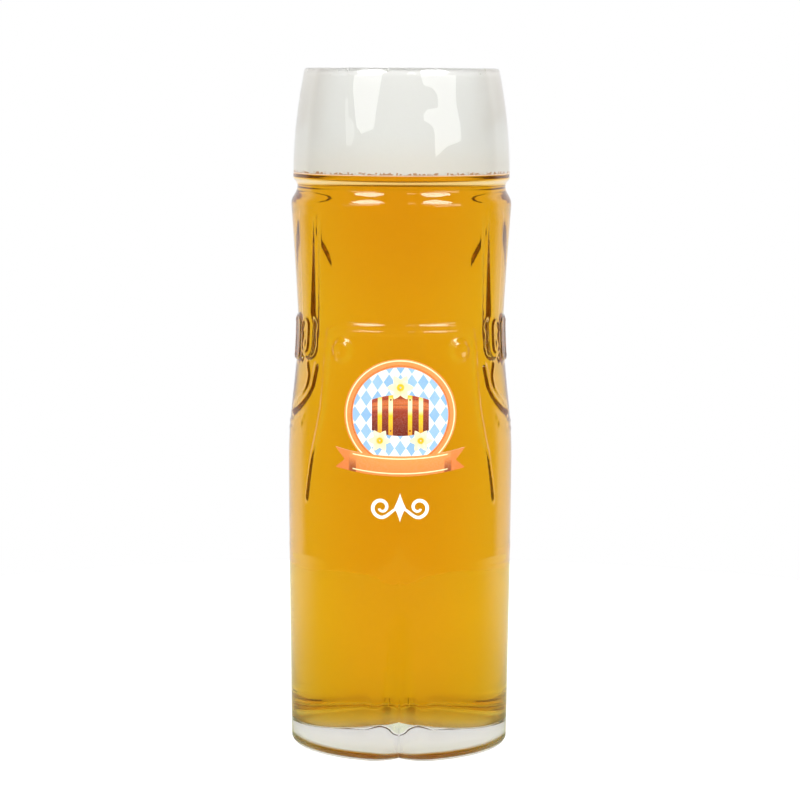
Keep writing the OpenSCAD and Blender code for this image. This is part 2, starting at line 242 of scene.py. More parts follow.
def softened(radii, soft):
    # soft is in steps of the table below
    side = 30
    kernel = np.exp(-0.5 * (np.arange(-side, side + 1) / soft) ** 2)
    return np.convolve(np.pad(radii, side, mode="edge"), kernel / kernel.sum(), mode="valid")


tableZ = np.arange(-10.0, 232.01, 0.1)
gentle = softened(plainRadius(tableZ), glassForm["soft"])
crisp = softened(plainRadius(tableZ), glassForm["crisp"])
tableR = gentle + (crisp - gentle) * ease((tableZ - glassForm["crispFrom"]) / glassForm["crispOver"])


def outerRadius(z):
    return np.interp(z, tableZ, tableR)


def innerRadius(z):
    f = glassForm
    low = between(f["wall"], f["grooveWall"], ease((z - f["shoulderZ"]) / (f["grooveZ"] - f["shoulderZ"])))
    high = between(f["grooveWall"], f["rimWall"], (z - f["grooveZ"]) / (f["height"] - f["grooveZ"]))
    return outerRadius(z) - np.where(z < f["grooveZ"], low, high)


def softLeast(a, b, soft):
    return np.minimum(a, b) - soft * np.log1p(np.exp(-np.abs(a - b) / soft))


def fromFront(phi):
    # the angle from the front, the same to the left and to the right
    return np.abs(np.mod(phi + np.pi, 2 * np.pi) - np.pi)


def towardsLegs(phi):
    # sine and cosine, in the leaning plane of a leg; the notch and the ridge are the same front and back
    folded = np.pi / 2 - np.abs(fromFront(phi) - np.pi / 2)
    return np.sin(folded), np.cos(folded) * math.cos(math.radians(legForm["lean"]))


def withNotch(r, z, phi):
    # the outline r, cut down to two round leaning legs where they part
    f = legForm
    turn = math.radians(f["turn"])
    s, c = towardsLegs(phi)
    across, ahead = f["out"] * math.sin(turn), f["out"] * math.cos(turn)
    d = z * math.sin(math.radians(f["lean"])) + ahead
    a, b = s * s + c * c, across * s + d * c
    root = b * b - a * (across ** 2 + d ** 2 - f["radius"] ** 2)
    leg = (b + np.sqrt(np.maximum(root, 0))) / a
    past = r * s - across
    leg = np.where((past > f["past"]) | (root <= 0), farAway, leg + f["pastRise"] * ease(past / f["past"]))
    fold = ease((z - f["foldFrom"]) / f["foldOver"]) * ease((f["past"] - past) / f["foldWide"])
    return softLeast(r, leg, f["foldSoft"] + f["foldRise"] * fold)


def withRidge(r, z, phi, gap):
    # the wall of the cup, which comes in between the legs; a few steps find where
    f = legForm
    s, c = towardsLegs(phi)
    tip = glassForm["footR"] - glassForm["wall"] - f["ridgeIn"] - gap
    deep = f["ridgeIn"] + glassForm["wall"] / 2
    ridge = r.copy()
    for step in range(f["ridgeSteps"]):
        out = tip + deep * ease(np.abs(ridge * s) / (f["ridgeHalf"] + gap))
        reach = (out + z * math.sin(math.radians(f["lean"]))) / np.maximum(c, f["ridgeSteep"])
        ridge = 0.5 * ridge + 0.5 * np.minimum(reach, r + f["ridgeRoom"])
    return softLeast(r, np.where(r * s > f["ridgeHalf"] + f["ridgeRoom"], farAway, ridge), f["ridgeSoft"])


def spread(*stretches):
    # (from, to, step) stretches joined to one list of places
    places = []
    for a, b, step in stretches:
        places.append(np.linspace(a, b, max(1, round(abs(b - a) / step)), endpoint=False))
    return np.append(np.concatenate(places), stretches[-1][1])


def bothSides(halfTurn):
    return np.radians(np.concatenate([halfTurn, -halfTurn[1:-1][::-1]]))


glassTurns = bothSides(spread(
    (0, 5, 0.7), (5, 24, 1.3), (24, 28, 0.7), (28, 39, 0.6), (39, 80, 0.74), (80, 95, 1.2),
    (95, 150, 2.5), (150, 156, 1.0), (156, 167, 0.54), (167, 180, 1.6)))
drinkTurns = bothSides(spread((0, 24, 1.2), (24, 156, 3.0), (156, 180, 1.2)))


def newPiece(name, points, faces):
    mesh = bpy.data.meshes.new(name)
    mesh.from_pydata(points, [], faces)
    piece = bpy.data.objects.new(name, mesh)
    scene.collection.objects.link(piece)
    return piece


def turnedPiece(name, rings, turns):
    # rings of (radius, height) along a closed outline, from pole to pole
    n = len(turns)
    count = len(rings) - 2
    points = []
    for r, z in rings[1:-1]:
        r, z = np.broadcast_to(r, n), np.broadcast_to(z, n)
        points.append(np.column_stack([r * np.sin(turns), -r * np.cos(turns), z]))
    points += [[[0, 0, np.mean(rings[end][1])]] for end in (0, -1)]
    j = np.arange(n)
    k = (j + 1) % n
    pole, edge = count * n, (count - 1) * n
    bands = [np.column_stack([i + j, i + k, i + n + k, i + n + j]) for i in range(0, edge, n)]
    fans = [(pole, int(b), int(a)) for a, b in zip(j, k)]
    fans += [(pole + 1, int(edge + a), int(edge + b)) for a, b in zip(j, k)]
    piece = newPiece(name, (np.vstack(points) * mm).tolist(), np.concatenate(bands).tolist() + fans)
    piece.data.shade_smooth()
    return piece


def newTree(name, sockets):
    tree = bpy.data.node_groups.new(name, "GeometryNodeTree")
    graph = Graph(tree)
    tree.interface.new_socket("Geometry", in_out="OUTPUT", socket_type="NodeSocketGeometry")
    tree.interface.new_socket("Geometry", in_out="INPUT", socket_type="NodeSocketGeometry")
    keys = {}
    for title, kind in sockets.items():
        socket = tree.interface.new_socket(title, in_out="INPUT", socket_type="NodeSocket" + kind)
        keys[title] = socket.identifier
    entry = graph.add("NodeGroupInput")
    inputs = {s.name: Wire(graph, s) for s in entry.socket.node.outputs if s.name}
    return tree, graph, inputs, keys


def closeTree(graph, geometry, *looks):
    # looks are materials, each with the faces that it is for, or None for all
    whole = graph.add("GeometryNodeRealizeInstances", {}, [geometry])
    for material, faces in looks:
        values = {"Geometry": whole, "Selection": faces, "Material": material}
        whole = graph.add("GeometryNodeSetMaterial", {}, values)
    graph.add("NodeGroupOutput", {}, [whole])


def runTree(piece, tree, keys, settings):
    # runs the tree on the piece and keeps the result as its mesh
    modifier = piece.modifiers.new(tree.name, "NODES")
    modifier.node_group = tree
    for title, value in settings.items():
        modifier[keys[title]] = value
    bpy.context.view_layer.update()
    ready = piece.evaluated_get(bpy.context.evaluated_depsgraph_get())
    result = bpy.data.meshes.new_from_object(ready)
    piece.modifiers.clear()
    piece.data = result


def keep(piece, node):
    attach(piece, "root")
    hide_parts(node)


# Clear glass, outside, and the same glass where the drink wets it

glassLook = {
    "ior": 1.5, "drinkIor": 1.333,
    "waveScale": 55.0, "rippleScale": 260.0, "ripple": 0.12, "wave": 0.14, "waveDeep": 0.0004,
    "haze": 0.03, "hazeScale": 90.0, "hazeFrom": (0.62, 0.9),
    "worn": 0.3, "wornLow": (-0.05, 0.12), "wornHigh": (2.6, 1.9),  # the foot, where it has slid on tables
}


def glassMaterial(name, ior):
    f = glassLook
    material, graph, place = newMaterial(name)
    ripples = graph.noise(place, f["waveScale"], 1.0) + graph.noise(place, f["rippleScale"]) * f["ripple"]
    z = asMillimetres(place)[2]
    worn = z.rise(*f["wornHigh"]) * z.rise(*f["wornLow"]) * f["worn"]
    haze = graph.noise(place, f["hazeScale"], 3.0).rise(*f["hazeFrom"]) * f["haze"] + worn
    finishMaterial(graph, {
        "Base Color": (1.0, 1.0, 1.0, 1.0), "Roughness": haze, "IOR": ior, "Transmission Weight": 1.0,
        "Normal": graph.bump(ripples, f["wave"], f["waveDeep"])})
    return material


print("glass materials")
clearGlass = glassMaterial("clear glass", glassLook["ior"])
wetGlass = glassMaterial("glass against the drink", glassLook["ior"] / glassLook["drinkIor"])


# What is moulded on the glass: turns in degrees from the front, the rest in millimetres.
# A rise is how far each thing stands out, and a share is a part of that.

braceForm = {
    "rise": 1.35, "inner": 46.5, "outer": 66.8, "lean": 0.124, "low": 128.0, "high": 174.0,
    "topShare": 0.55, "topOver": 36.0, "endFrom": 177.0, "endOver": 4.0, "outerSoft": 1.2,
    "stepShare": 0.3, "stepSoft": 0.4,  # the inner edge has a small step and then a slope
    "slopeFrom": 2.1, "slopeSoft": 0.6,
    "lowerBy": 1.5, "lowerSoft": 2.5, "lowerFrom": 172.0, "lowerOver": 34.0,
    "crispBy": 0.65, "crispFrom": 144.0, "crispOver": 4.0,
}
backBraceForm = {
    "share": 0.38, "turn": 20.0, "tip": 156.8, "leans": (0.12, 0.21), "softs": (0.22, 0.42),
    "endFrom": 174.0, "endOver": 9.0,
}
beltForm = {"rise": 0.6, "low": 127.3, "high": 142.2, "from": 66.0, "corner": 2.5, "soft": 0.9}
loopForm = {"rise": 0.42, "turn": 76.5, "wide": 8.0, "tall": 15.6, "thick": 1.5, "soft": 0.62, "corners": 2.2}
buckleForm = {
    "x": 1.5, "z": 136.2, "wide": 2.5, "tall": 5.6, "corner": 2.2,
    "ringIn": 0.6, "ringSoft": 0.9, "ringShare": 0.9,
    "knobX": 1.4, "knobZ": 133.4, "knobTop": 1.4, "knobR": 1.3, "knobShare": 0.7,
    "tongue": [(0.0, 138.6), (3.4, 137.4)], "tongueHalf": 0.9, "tongueShare": 0.6,
}
seamForm = {
    "rise": 0.58,
    "flap": [(30.1, 83.5), (29.4, 90.0), (28.3, 97.8), (26.6, 104.8), (25.0, 113.3), (24.0, 123.3),
             (23.6, 132.0), (23.2, 135.4), (22.2, 138.0), (20.2, 139.2), (17.0, 139.4), (0.0, 139.4)],
    "sideShare": 0.84, "sideEnd": 1.4, "sideSoft": 0.8,
    "topShare": 0.95, "topApart": 0.95, "topHalf": 1.3, "topFrom": 136.5, "topOver": 2.0,
    "tailShare": 1.25, "tailHalf": 0.95, "tailFrom": 108.0, "tailOver": 14.0,
    "pockets": [  # share, half the width, and the line as turn and height
        (1.25, 1.6, [
            (51.8, 126.6), (54.0, 120.3), (57.4, 117.3), (61.4, 115.2), (67.0, 113.0), (75.0, 111.0)]),
        (0.7, 1.1, [
            (61.4, 127.3), (58.6, 123.2), (60.0, 119.8), (63.9, 117.0), (70.0, 114.2), (77.0, 112.3)]),
        (0.4, 1.1, [(60.0, 110.0), (72.0, 107.6), (90.0, 106.8), (112.0, 107.4)]),
        (0.4, 1.1, [(62.0, 107.6), (74.0, 105.2), (90.0, 104.4), (112.0, 105.0)]),
    ],
}
buttonForm = {
    "rise": 1.2, "turn": 33.5, "z": 132.5, "r": 3.4,
    "steps": [(1.26, 0.32), (0.98, 0.28)], "dish": 0.34, "dishR": 0.66,  # in radii of the button
}
hemForm = {"rise": 0.07, "z": 65.4, "half": 3.0, "from": 36.0, "over": 16.0}
ridgeBend = 1.6  # how round the top of a ridge is


def lineDistance(u, z, line):
    best = np.full(u.shape, 1e9)
    for (x1, z1), (x2, z2) in zip(line[:-1], line[1:]):
        dx, dz = x2 - x1, z2 - z1
        t = np.clip(((u - x1) * dx + (z - z1) * dz) / (dx * dx + dz * dz), 0, 1)
        best = np.minimum(best, np.hypot(u - x1 - t * dx, z - z1 - t * dz))
    return best


def ridgeAlong(u, z, line, half):
    # round ridge, 1 on the line and 0 past half its width
    return np.cos(np.clip(lineDistance(u, z, line) / half, 0, 1) * np.pi / 2) ** ridgeBend


def boxDistance(u, v, halfU, halfV, corner):
    du, dv = np.abs(u) - halfU + corner, np.abs(v) - halfV + corner
    return np.hypot(np.maximum(du, 0), np.maximum(dv, 0)) + np.minimum(np.maximum(du, dv), 0) - corner


def braceSides(z):
    # how wide half a brace is and where its middle is, in degrees
    f = braceForm
    inner = f["inner"] + (f["high"] - z) * f["lean"]
    return (f["outer"] - inner) / 2, (f["outer"] + inner) / 2


def braceShare(turn, z, degree):
    f, b = braceForm, backBraceForm
    half, middle = braceSides(z)
    half, off = half * degree, (turn - middle) * degree
    endZ = f["low"] + half
    deep = half - np.where(z < endZ, np.hypot(off, endZ - z), np.abs(off))
    grown = between(f["topShare"], 1.0, ease((f["high"] - z) / f["topOver"]))
    lower = ease((f["lowerFrom"] - z) / f["lowerOver"])
    crisper = 1 - f["crispBy"] * ease((f["crispFrom"] - z) / f["crispOver"])
    soft = (f["slopeSoft"] + f["lowerSoft"] * lower) * crisper
    slope = ease((deep - f["slopeFrom"] + f["lowerBy"] * lower) / soft)
    edge = f["stepShare"] * ease(deep / f["stepSoft"]) + (grown - f["stepShare"]) * slope
    front = np.where(off < 0, edge, ease(deep / f["outerSoft"]) * grown)
    front = front * ease((f["endFrom"] - z) / f["endOver"])

    off = (turn - (180 - b["turn"])) * degree
    over = z - b["tip"]
    sides = zip(b["leans"], (-off, off), b["softs"])
    tip = np.minimum(*[ease((over * lean + away) / soft) for lean, away, soft in sides])
    back = tip * b["share"] * ease((b["endFrom"] - z) / b["endOver"])
    return np.maximum(front, back)


def beltShare(turn, z, degree):
    f = beltForm
    middle, tall = (f["low"] + f["high"]) / 2, (f["high"] - f["low"]) / 2
    plate = boxDistance((turn - 90) * degree, z - middle, (90 - f["from"]) * degree, tall, f["corner"])
    return ease(-plate / f["soft"])


def loopShare(turn, z, degree):
    # the belt's loops, and the plain buckle where a brace meets the belt
    f, b = loopForm, buckleForm
    middle = (beltForm["low"] + beltForm["high"]) / 2
    half = f["wide"] / 2, f["tall"] / 2
    rings = []
    for loopTurn in (f["turn"], 180 - f["turn"]):
        loop = boxDistance((turn - loopTurn) * degree, z - middle, *half, f["wide"] / f["corners"])
        rings.append(ease(1 - np.abs(loop + f["thick"] / 2) / (f["thick"] * f["soft"])))
    off = (turn - braceSides(z)[1]) * degree
    ring = boxDistance(off - b["x"], z - b["z"], b["wide"], b["tall"], b["corner"])
    knob = np.hypot(off - b["knobX"], z - b["knobZ"])
    rings.append(ease(1 - np.abs(ring + b["ringIn"]) / b["ringSoft"]) * b["ringShare"])
    rings.append(ease(b["knobTop"] - knob / b["knobR"]) * b["knobShare"])
    rings.append(ridgeAlong(off, z, b["tongue"], b["tongueHalf"]) * b["tongueShare"])
    return np.maximum.reduce(rings)


def seamShare(around, z):
    # the flap's seam is a step at its sides, double at its top and a ridge at its ends
    f = seamForm
    flap = []
    for x, h in f["flap"]:
        r = float(outerRadius(h))
        flap.append((math.asin(x / r) * r, h))
    far = lineDistance(around, z, flap)
    side = np.clip((f["sideEnd"] - far) / f["sideSoft"], 0, 1) * f["sideShare"]
    top = ease(1 - np.abs(far - f["topApart"]) / f["topHalf"]) * f["topShare"]
    tail = ease(1 - far / f["tailHalf"]) * f["tailShare"]
    seam = between(side, top, ease((z - f["topFrom"]) / f["topOver"]))
    seam = between(seam, tail, ease((f["tailFrom"] - z) / f["tailOver"]))
    for share, half, line in f["pockets"]:
        lifted = [(math.radians(a) * float(outerRadius(h)), h) for a, h in line]
        seam = np.maximum(seam, ridgeAlong(around, z, lifted, half) * share)
    return seam


def buttonShare(turn, z, degree):
    f = buttonForm
    spot = np.hypot((turn - f["turn"]) * degree, z - f["z"]) / f["r"]
    steps = [0.5 * ease((end - spot) / soft) for end, soft in f["steps"]]
    return sum(steps) - f["dish"] * np.clip(1 - (spot / f["dishR"]) ** 2, 0, 1)


def hemShare(turn, z):
    f = hemForm
    hem = np.cos(np.clip(np.abs(z - f["z"]) / f["half"], 0, 1) * np.pi / 2) ** 2
    return hem * ease((turn - f["from"]) / f["over"]) * ease((180 - f["from"] - turn) / f["over"])


def mouldedShares(phi, z, r):
    # how much of each moulded thing there is at every point of the outside
    turn = np.degrees(fromFront(phi))
    degree = np.radians(1.0) * r
    return {
        "brace": braceShare(turn, z, degree), "belt": beltShare(turn, z, degree),
        "loop": loopShare(turn, z, degree), "seam": seamShare(np.radians(turn) * r, z),
        "button": buttonShare(turn, z, degree), "hem": hemShare(turn, z)}


mouldForms = {
    "brace": braceForm, "belt": beltForm, "loop": loopForm,
    "seam": seamForm, "button": buttonForm, "hem": hemForm,
}
mouldRises = {name: form["rise"] for name, form in mouldForms.items()}


def footRings(turns):
    # the hollow under the base, the flat foot and its rounded corner, which is tighter at the back
    f = glassForm
    low = f["footRound"]
    edge = withNotch(np.full(len(turns), float(outerRadius(low))), np.full(len(turns), low), turns)
    back = ease((np.degrees(fromFront(turns)) - f["backFrom"]) / f["backOver"])
    bend = between(low, f["footRoundBack"], back)
    flat = edge - bend
    rings = [(r, f["puntDeep"]) for r in (0.0, *f["puntRings"], f["puntR"] - f["puntDeep"])]
    rings += [(between(f["puntR"], flat, t), 0.0) for t in (0.0, 0.25, 0.5, 0.75)]
    for a in np.radians(np.linspace(-90, 0, 7)[:-1]):
        rings.append((flat + bend * math.cos(a), bend * (1 + math.sin(a))))
    return rings


def rimRings():
    f = glassForm
    half = f["rimWall"] / 2
    middle = float(outerRadius(f["height"])) - half
    turns = np.radians(np.linspace(0, 180, 8)[1:-1])
    return [(middle + half * math.cos(a), f["height"] - f["rimRise"] * (1 - math.sin(a))) for a in turns]


def floorFall(x, z):
    # the floor of the cup is a low roof that falls from its middle to the outer sides of the legs
    f = glassForm
    low = ease((f["floorFrom"] - z) / (f["floorFrom"] - f["baseThick"] - f["floorRound"]))
    return (f["floorSlope"] * (np.hypot(x, f["floorSoft"]) - f["floorSoft"]) - f["floorUp"]) * low


def drinkRings(turns, gap, top):
    # the room inside the glass, down the wall and in over the floor
    f = glassForm
    n = len(turns)
    bend = f["baseThick"] + f["floorRound"]
    beerTop = drinkForm["beerTop"]
    stretches = [(beerTop, 182, 0.6), (182, 176, 1.2), (176, 50, 9.0), (50, bend + 0.5, 3.5)]
    if top > beerTop:
        stretches.insert(0, (top, beerTop, 3.0))
    rings = []
    for z in spread(*stretches):
        rings.append((withRidge(np.full(n, float(innerRadius(z)) - gap), z, turns, gap), z))
    corner = float(innerRadius(bend)) - gap
    for a in np.radians(np.linspace(0, -90, 8)):
        r, z = corner - f["floorRound"] * (1 - math.cos(a)), bend + gap + f["floorRound"] * math.sin(a)
        rings.append((withRidge(np.full(n, r), z, turns, gap), z))
    edge = rings[-1][0]
    rings += [(edge * t, f["baseThick"] + gap) for t in np.arange(0.9, 0.05, -0.1)]
    rings.append((0.0, f["baseThick"] + gap))
    return [(r, z - floorFall(r * np.sin(turns), z)) for r, z in rings]


def mouldTree():
    # lifts the outside of the glass by the sum of its moulded things
    sockets = {name.title() + " rise": "Float" for name in mouldRises}
    sockets.update({"Outside": "Material", "Inside": "Material"})
    tree, graph, inputs, keys = newTree("moulded breeches", sockets)
    rise = None
    for name in mouldRises:
        share = graph.add("GeometryNodeInputNamedAttribute", {"data_type": "FLOAT"}, {"Name": name})
        lift = share * inputs[name.title() + " rise"]
        rise = lift if rise is None else rise + lift
    x, y = graph.add("GeometryNodeInputPosition").split()[:2]
    flat = graph.add("ShaderNodeCombineXYZ", {}, {"X": x, "Y": y})
    away = graph.add("ShaderNodeVectorMath", {"operation": "NORMALIZE"}, [flat])
    offset = graph.scaled(away, rise * mm)
    raised = graph.add("GeometryNodeSetPosition", {}, {"Geometry": inputs["Geometry"], "Offset": offset})
    isWet = graph.add("GeometryNodeInputNamedAttribute", {"data_type": "FLOAT"}, {"Name": "wet"}) > 0.5
    closeTree(graph, raised, (inputs["Outside"], None), (inputs["Inside"], isWet))
    return tree, keys


def buildGlass():
    f = glassForm
    turns = glassTurns
    n = len(turns)
    top = f["height"] - f["rimRise"]
    rows = spread(
        (f["footRound"], 62, 3.0), (62, 69, 1.0), (69, 80, 1.8), (80, 128, 0.78), (128, 141, 0.5),
        (141, 145, 0.6), (145, 176, 1.5), (176, 181.5, 0.7), (181.5, 188.5, 0.3), (188.5, 191, 0.8),
        (191, top, 2.0))
    zs, phis = np.meshgrid(rows, turns, indexing="ij")
    outer = withNotch(outerRadius(zs), zs, phis)
    foot, inside = footRings(turns), drinkRings(turns, 0.0, top)
    rings = [*foot, *zip(outer, rows), *rimRings(), *inside]
    piece = turnedPiece("glassBody", rings, turns)

    mesh = piece.data
    start = (len(foot) - 1) * n  # the pole is no ring
    for name, values in mouldedShares(phis, zs, outer).items():
        column = np.zeros(len(mesh.vertices))
        column[start:start + values.size] = values.ravel()
        mesh.attributes.new(name, "FLOAT", "POINT").data.foreach_set("value", column)
    wet = np.zeros(len(mesh.polygons))
    wet[(len(rings) - len(inside) - 1) * n:(len(rings) - 3) * n] = 1.0
    wet[-n:] = 1.0  # the fan round the inner pole
    mesh.attributes.new("wet", "FLOAT", "FACE").data.foreach_set("value", wet)

    settings = {name.title() + " rise": rise for name, rise in mouldRises.items()}
    runTree(piece, *mouldTree(), {**settings, "Outside": clearGlass, "Inside": wetGlass})
    return piece


print("glass")
glassBody = buildGlass()
keep(glassBody, "glass_body")


# The beer: clear and amber through its depth, with painted shade making it a little darker towards the foam

beerLook = {
    "amber": (0.978, 0.862, 0.04), "density": 104.0,
    # the high tint is painted shade under the foam, the low tint the plain beer below
    "low": (1.0, 0.99, 0.88), "high": (0.97, 0.915, 0.86), "foamShadeFrom": (140.0, 172.0),
    "cloud": (0.75, 0.30, 0.008), "cloudy": 0.13, "cloudScale": 30.0, "cloudSwing": 12.0,
    "roughFrom": (0.8, 1.0), "rough": 0.01,
}


def beerMaterial():
    f = beerLook
    material, graph, place = newMaterial("amber beer")
    z = asMillimetres(place)[2]
    cloud = graph.noise(place, f["cloudScale"], 1.0)
    # painted shade: the beer's tint darker towards the foam
    high = (z + cloud * f["cloudSwing"] - f["cloudSwing"] / 2).rise(*f["foamShadeFrom"])
    rough = cloud.rise(*f["roughFrom"]) * f["rough"]
    clear = graph.add("ShaderNodeBsdfPrincipled", {}, {
        "Base Color": graph.mix(high, f["low"], f["high"]), "Roughness": rough,
        "IOR": 1.0, "Transmission Weight": 1.0})
    hazy = graph.add("ShaderNodeBsdfPrincipled", {}, {
        "Base Color": (*f["cloud"], 1.0), "Roughness": 1.0, "Specular IOR Level": 0.0})
    surface = graph.add("ShaderNodeMixShader", {}, [f["cloudy"], clear, hazy])
    amber = {"Color": (*f["amber"], 1.0), "Density": f["density"]}
    volume = graph.add("ShaderNodeVolumeAbsorption", {}, amber)
    graph.add("ShaderNodeOutputMaterial", {}, {"Surface": surface, "Volume": volume})
    return material


def buildBeer():
    top = drinkForm["beerTop"]
    side = drinkRings(drinkTurns, drinkForm["gap"], top)
    rings = [(0.0, top), (side[0][0] * 0.5, top), *side]
    piece = turnedPiece("beer", rings[::-1], drinkTurns)
    piece.data.materials.append(beerMaterial())
    return piece


print("beer")
keep(buildBeer(), "beer")


# The foam: fine bubbles, finer towards the beer and yellower there by painted warm light from the beer, with
# painted shade on its sides and in its pits and a painted glow under its edge

foamLook = {
    # the warm colour is painted warm light that the beer sends up into the foam's lower part
    "white": rgb(240, 240, 237), "warm": rgb(240, 236, 228), "amber": rgb(190, 120, 40),
    # the shade colour is painted shade on the foam's sides; the pit colour is painted shade in its pits
    "shade": rgb(212, 202, 190), "pitShade": rgb(170, 166, 158), "rough": 0.85, "shine": 0.2,
    "cells": 1400.0, "largeCells": 420.0, "patches": 60.0, "beads": 900.0,
    "grain": 0.25, "grainDeep": 0.0003,
    # where the painted warm light from the beer begins, and how far it wanders
    "beerLightFrom": (203.0, 188.0), "beerLightSwing": 4.0,
    "wet": 0.8, "wetFrom": (188.5, 188.15), "wetTo": (188.06, 188.1), "wetSwing": 0.75,
    "beadFrom": (0.42, 0.62),
    # painted shade on the foam's sides: how strong, from where, how it wanders and how high it reaches
    "sides": 0.5, "sideShadeFrom": (19.0, 33.0), "sideSwing": 10.0,
    "sideLow": (196.0, 208.0), "sideLowSwing": 14.0,
    # painted shade in the foam's pits: how strong, and which cells
    "shadeInPits": 0.12, "pitSize": (0.16, 0.05), "pitFrom": (0.5, 0.62),
    "glow": 0.75, "under": (188.3, 188.1), "underFrom": (18.0, 24.0),  # a painted glow on the underside of the foam's edge, for light that the foam leads down
}
bubbleForm = {
    "count": 900, "area": 0.0027, "least": 0.12, "most": 0.5, "bend": 4.0,
    "lowest": 214.0, "upright": 0.3, "seed": 7,
    "lumps": 6, "lumpHigh": 0.12, "lumpX": (0.22, 0.09), "lumpY": (0.2, 0.1), "lumpTurn": 6.28, "sink": 0.35,
    "lip": 0.35, "lipDrop": 0.05, "middleDrop": 0.4,
}


def foamMaterial():
    f = foamLook
    material, graph, place = newMaterial("foam")
    x, y, z = asMillimetres(place)
    cells = graph.add("ShaderNodeTexVoronoi", {"feature": "F1"}, {"Vector": place, "Scale": f["cells"]})
    large = graph.add("ShaderNodeTexVoronoi", {"feature": "F1"}, {"Vector": place, "Scale": f["largeCells"]})
    patches = graph.noise(place, f["patches"], 3.0)
    swing = patches - 0.5
    # painted warm light from the beer, towards the bottom of the foam
    colour = graph.mix((z + swing * f["beerLightSwing"]).rise(*f["beerLightFrom"]), f["white"], f["warm"])
    beads = graph.noise(place, f["beads"]).rise(*f["beadFrom"])
    wet = (z - beads * f["wetSwing"]).rise(*f["wetFrom"]) * z.rise(*f["wetTo"])
    colour = graph.mix(wet * f["wet"], colour, f["amber"])
    # painted shade on the left and right sides of the upper foam
    side = (abs(x) + swing * f["sideSwing"]).rise(*f["sideShadeFrom"])
    side = side * (z + swing * f["sideLowSwing"]).rise(*f["sideLow"])
    colour = graph.mix(side * f["sides"], colour, f["shade"])
    # painted shade in the pits of the foam
    shadeInPits = large.rise(*f["pitSize"]) * patches.rise(*f["pitFrom"])
    colour = graph.mix(shadeInPits * f["shadeInPits"], colour, f["pitShade"])
    # painted glow: the foam's underside near the glass emits light
    outer = ((x ** 2.0 + y ** 2.0) ** 0.5).rise(*f["underFrom"])
    glow = graph.mix(z.rise(*f["under"]) * outer, grey(0.0), grey(1.0))
    normal = graph.bump(cells * 0.5 + large * 0.5 + patches, f["grain"], f["grainDeep"])
    finishMaterial(graph, {
        "Base Color": colour, "Roughness": f["rough"], "Specular IOR Level": f["shine"], "Normal": normal,
        "Emission Color": glow, "Emission Strength": f["glow"]})
    return material


def bubbleTree():
    # small domes, scattered over the sunk face of the foam
    tree, graph, inputs, keys = newTree("bubbles on the foam", {
        "Bubbles": "Int", "Least": "Float", "Most": "Float", "Lowest": "Float", "Seed": "Int",
        "Look": "Material"})
    body, seed = inputs["Geometry"], inputs["Seed"]
    height = graph.add("GeometryNodeInputPosition").split()[2]
    upright = graph.add("GeometryNodeInputNormal").split()[2]
    inTheDish = (upright > bubbleForm["upright"]) * (height > inputs["Lowest"])
    density = inputs["Bubbles"] / bubbleForm["area"]
    spots = graph.add("GeometryNodeDistributePointsOnFaces", {"distribute_method": "RANDOM"},
                      {"Mesh": body, "Selection": inTheDish, "Density": density, "Seed": seed})
    chance = graph.add("FunctionNodeRandomValue", {"data_type": "FLOAT"},
                       {"Min": 0.0, "Max": 1.0, "Seed": seed})
    size = inputs["Least"] + (inputs["Most"] - inputs["Least"]) * chance ** bubbleForm["bend"]
    ball = graph.add("GeometryNodeMeshIcoSphere", {}, {"Radius": 1.0, "Subdivisions": 2})
    balls = {"Points": spots, "Instance": ball, "Scale": size}
    both = graph.joined(body, graph.add("GeometryNodeInstanceOnPoints", {}, balls))
    whole = graph.add("GeometryNodeRealizeInstances", {}, [both])
    closeTree(graph, graph.add("GeometryNodeSetShadeSmooth", {}, [whole]), (inputs["Look"], None))
    return tree, keys


def buildFoam():
    f, d, b = glassForm, drinkForm, bubbleForm
    turns = drinkTurns
    gap, sink = d["gap"], d["foamSink"]
    low, top = d["beerTop"] + gap, f["height"] - d["foamGap"] - gap
    edge = float(innerRadius(top)) - d["foamGap"]
    dish = edge - sink * d["slope"]
    waves = np.random.default_rng(b["seed"]).uniform(0, b["lumpTurn"], (b["lumps"], 2))

    def lumpy(r, z):
        x, y = r * np.sin(turns), -r * np.cos(turns)
        swell = 0
        for i in range(b["lumps"]):
            across = np.sin(x * (b["lumpX"][0] + b["lumpX"][1] * i) + waves[i, 0])
            along = np.sin(y * (b["lumpY"][0] + b["lumpY"][1] * i) + waves[i, 1])
            swell = swell + math.cos(i) * across * along
        return z - b["sink"] - b["lumpHigh"] * swell

    def wall(z):
        return float(innerRadius(z)) - gap

    rings = [(wall(low) * t, low) for t in (0.0, 0.33, 0.66, 1.0)]
    rings += [(wall(z), z) for z in spread((low, 192, 0.7), (192, top, 2.2))[1:]]
    rings.append((edge + b["lip"], top - b["lipDrop"]))
    for t in np.linspace(1, 0, 9):
        r = between(dish, edge, t)
        rings.append((r, lumpy(r, top - sink * (1 - t ** d["slopeBend"]))))
    rings += [(dish * t, lumpy(dish * t, top - sink)) for t in (0.85, 0.7, 0.55, 0.4, 0.25, 0.1)]
    rings.append((0.0, top - sink - b["middleDrop"]))
    piece = turnedPiece("foamHead", rings, turns)
    runTree(piece, *bubbleTree(), {
        "Bubbles": b["count"], "Least": b["least"] * mm, "Most": b["most"] * mm, "Lowest": b["lowest"] * mm,
        "Seed": b["seed"], "Look": foamMaterial()})
    return piece


print("foam")
keep(buildFoam(), "foam_head")


# The print: flat shapes in millimetres, laid on the glass by one tree

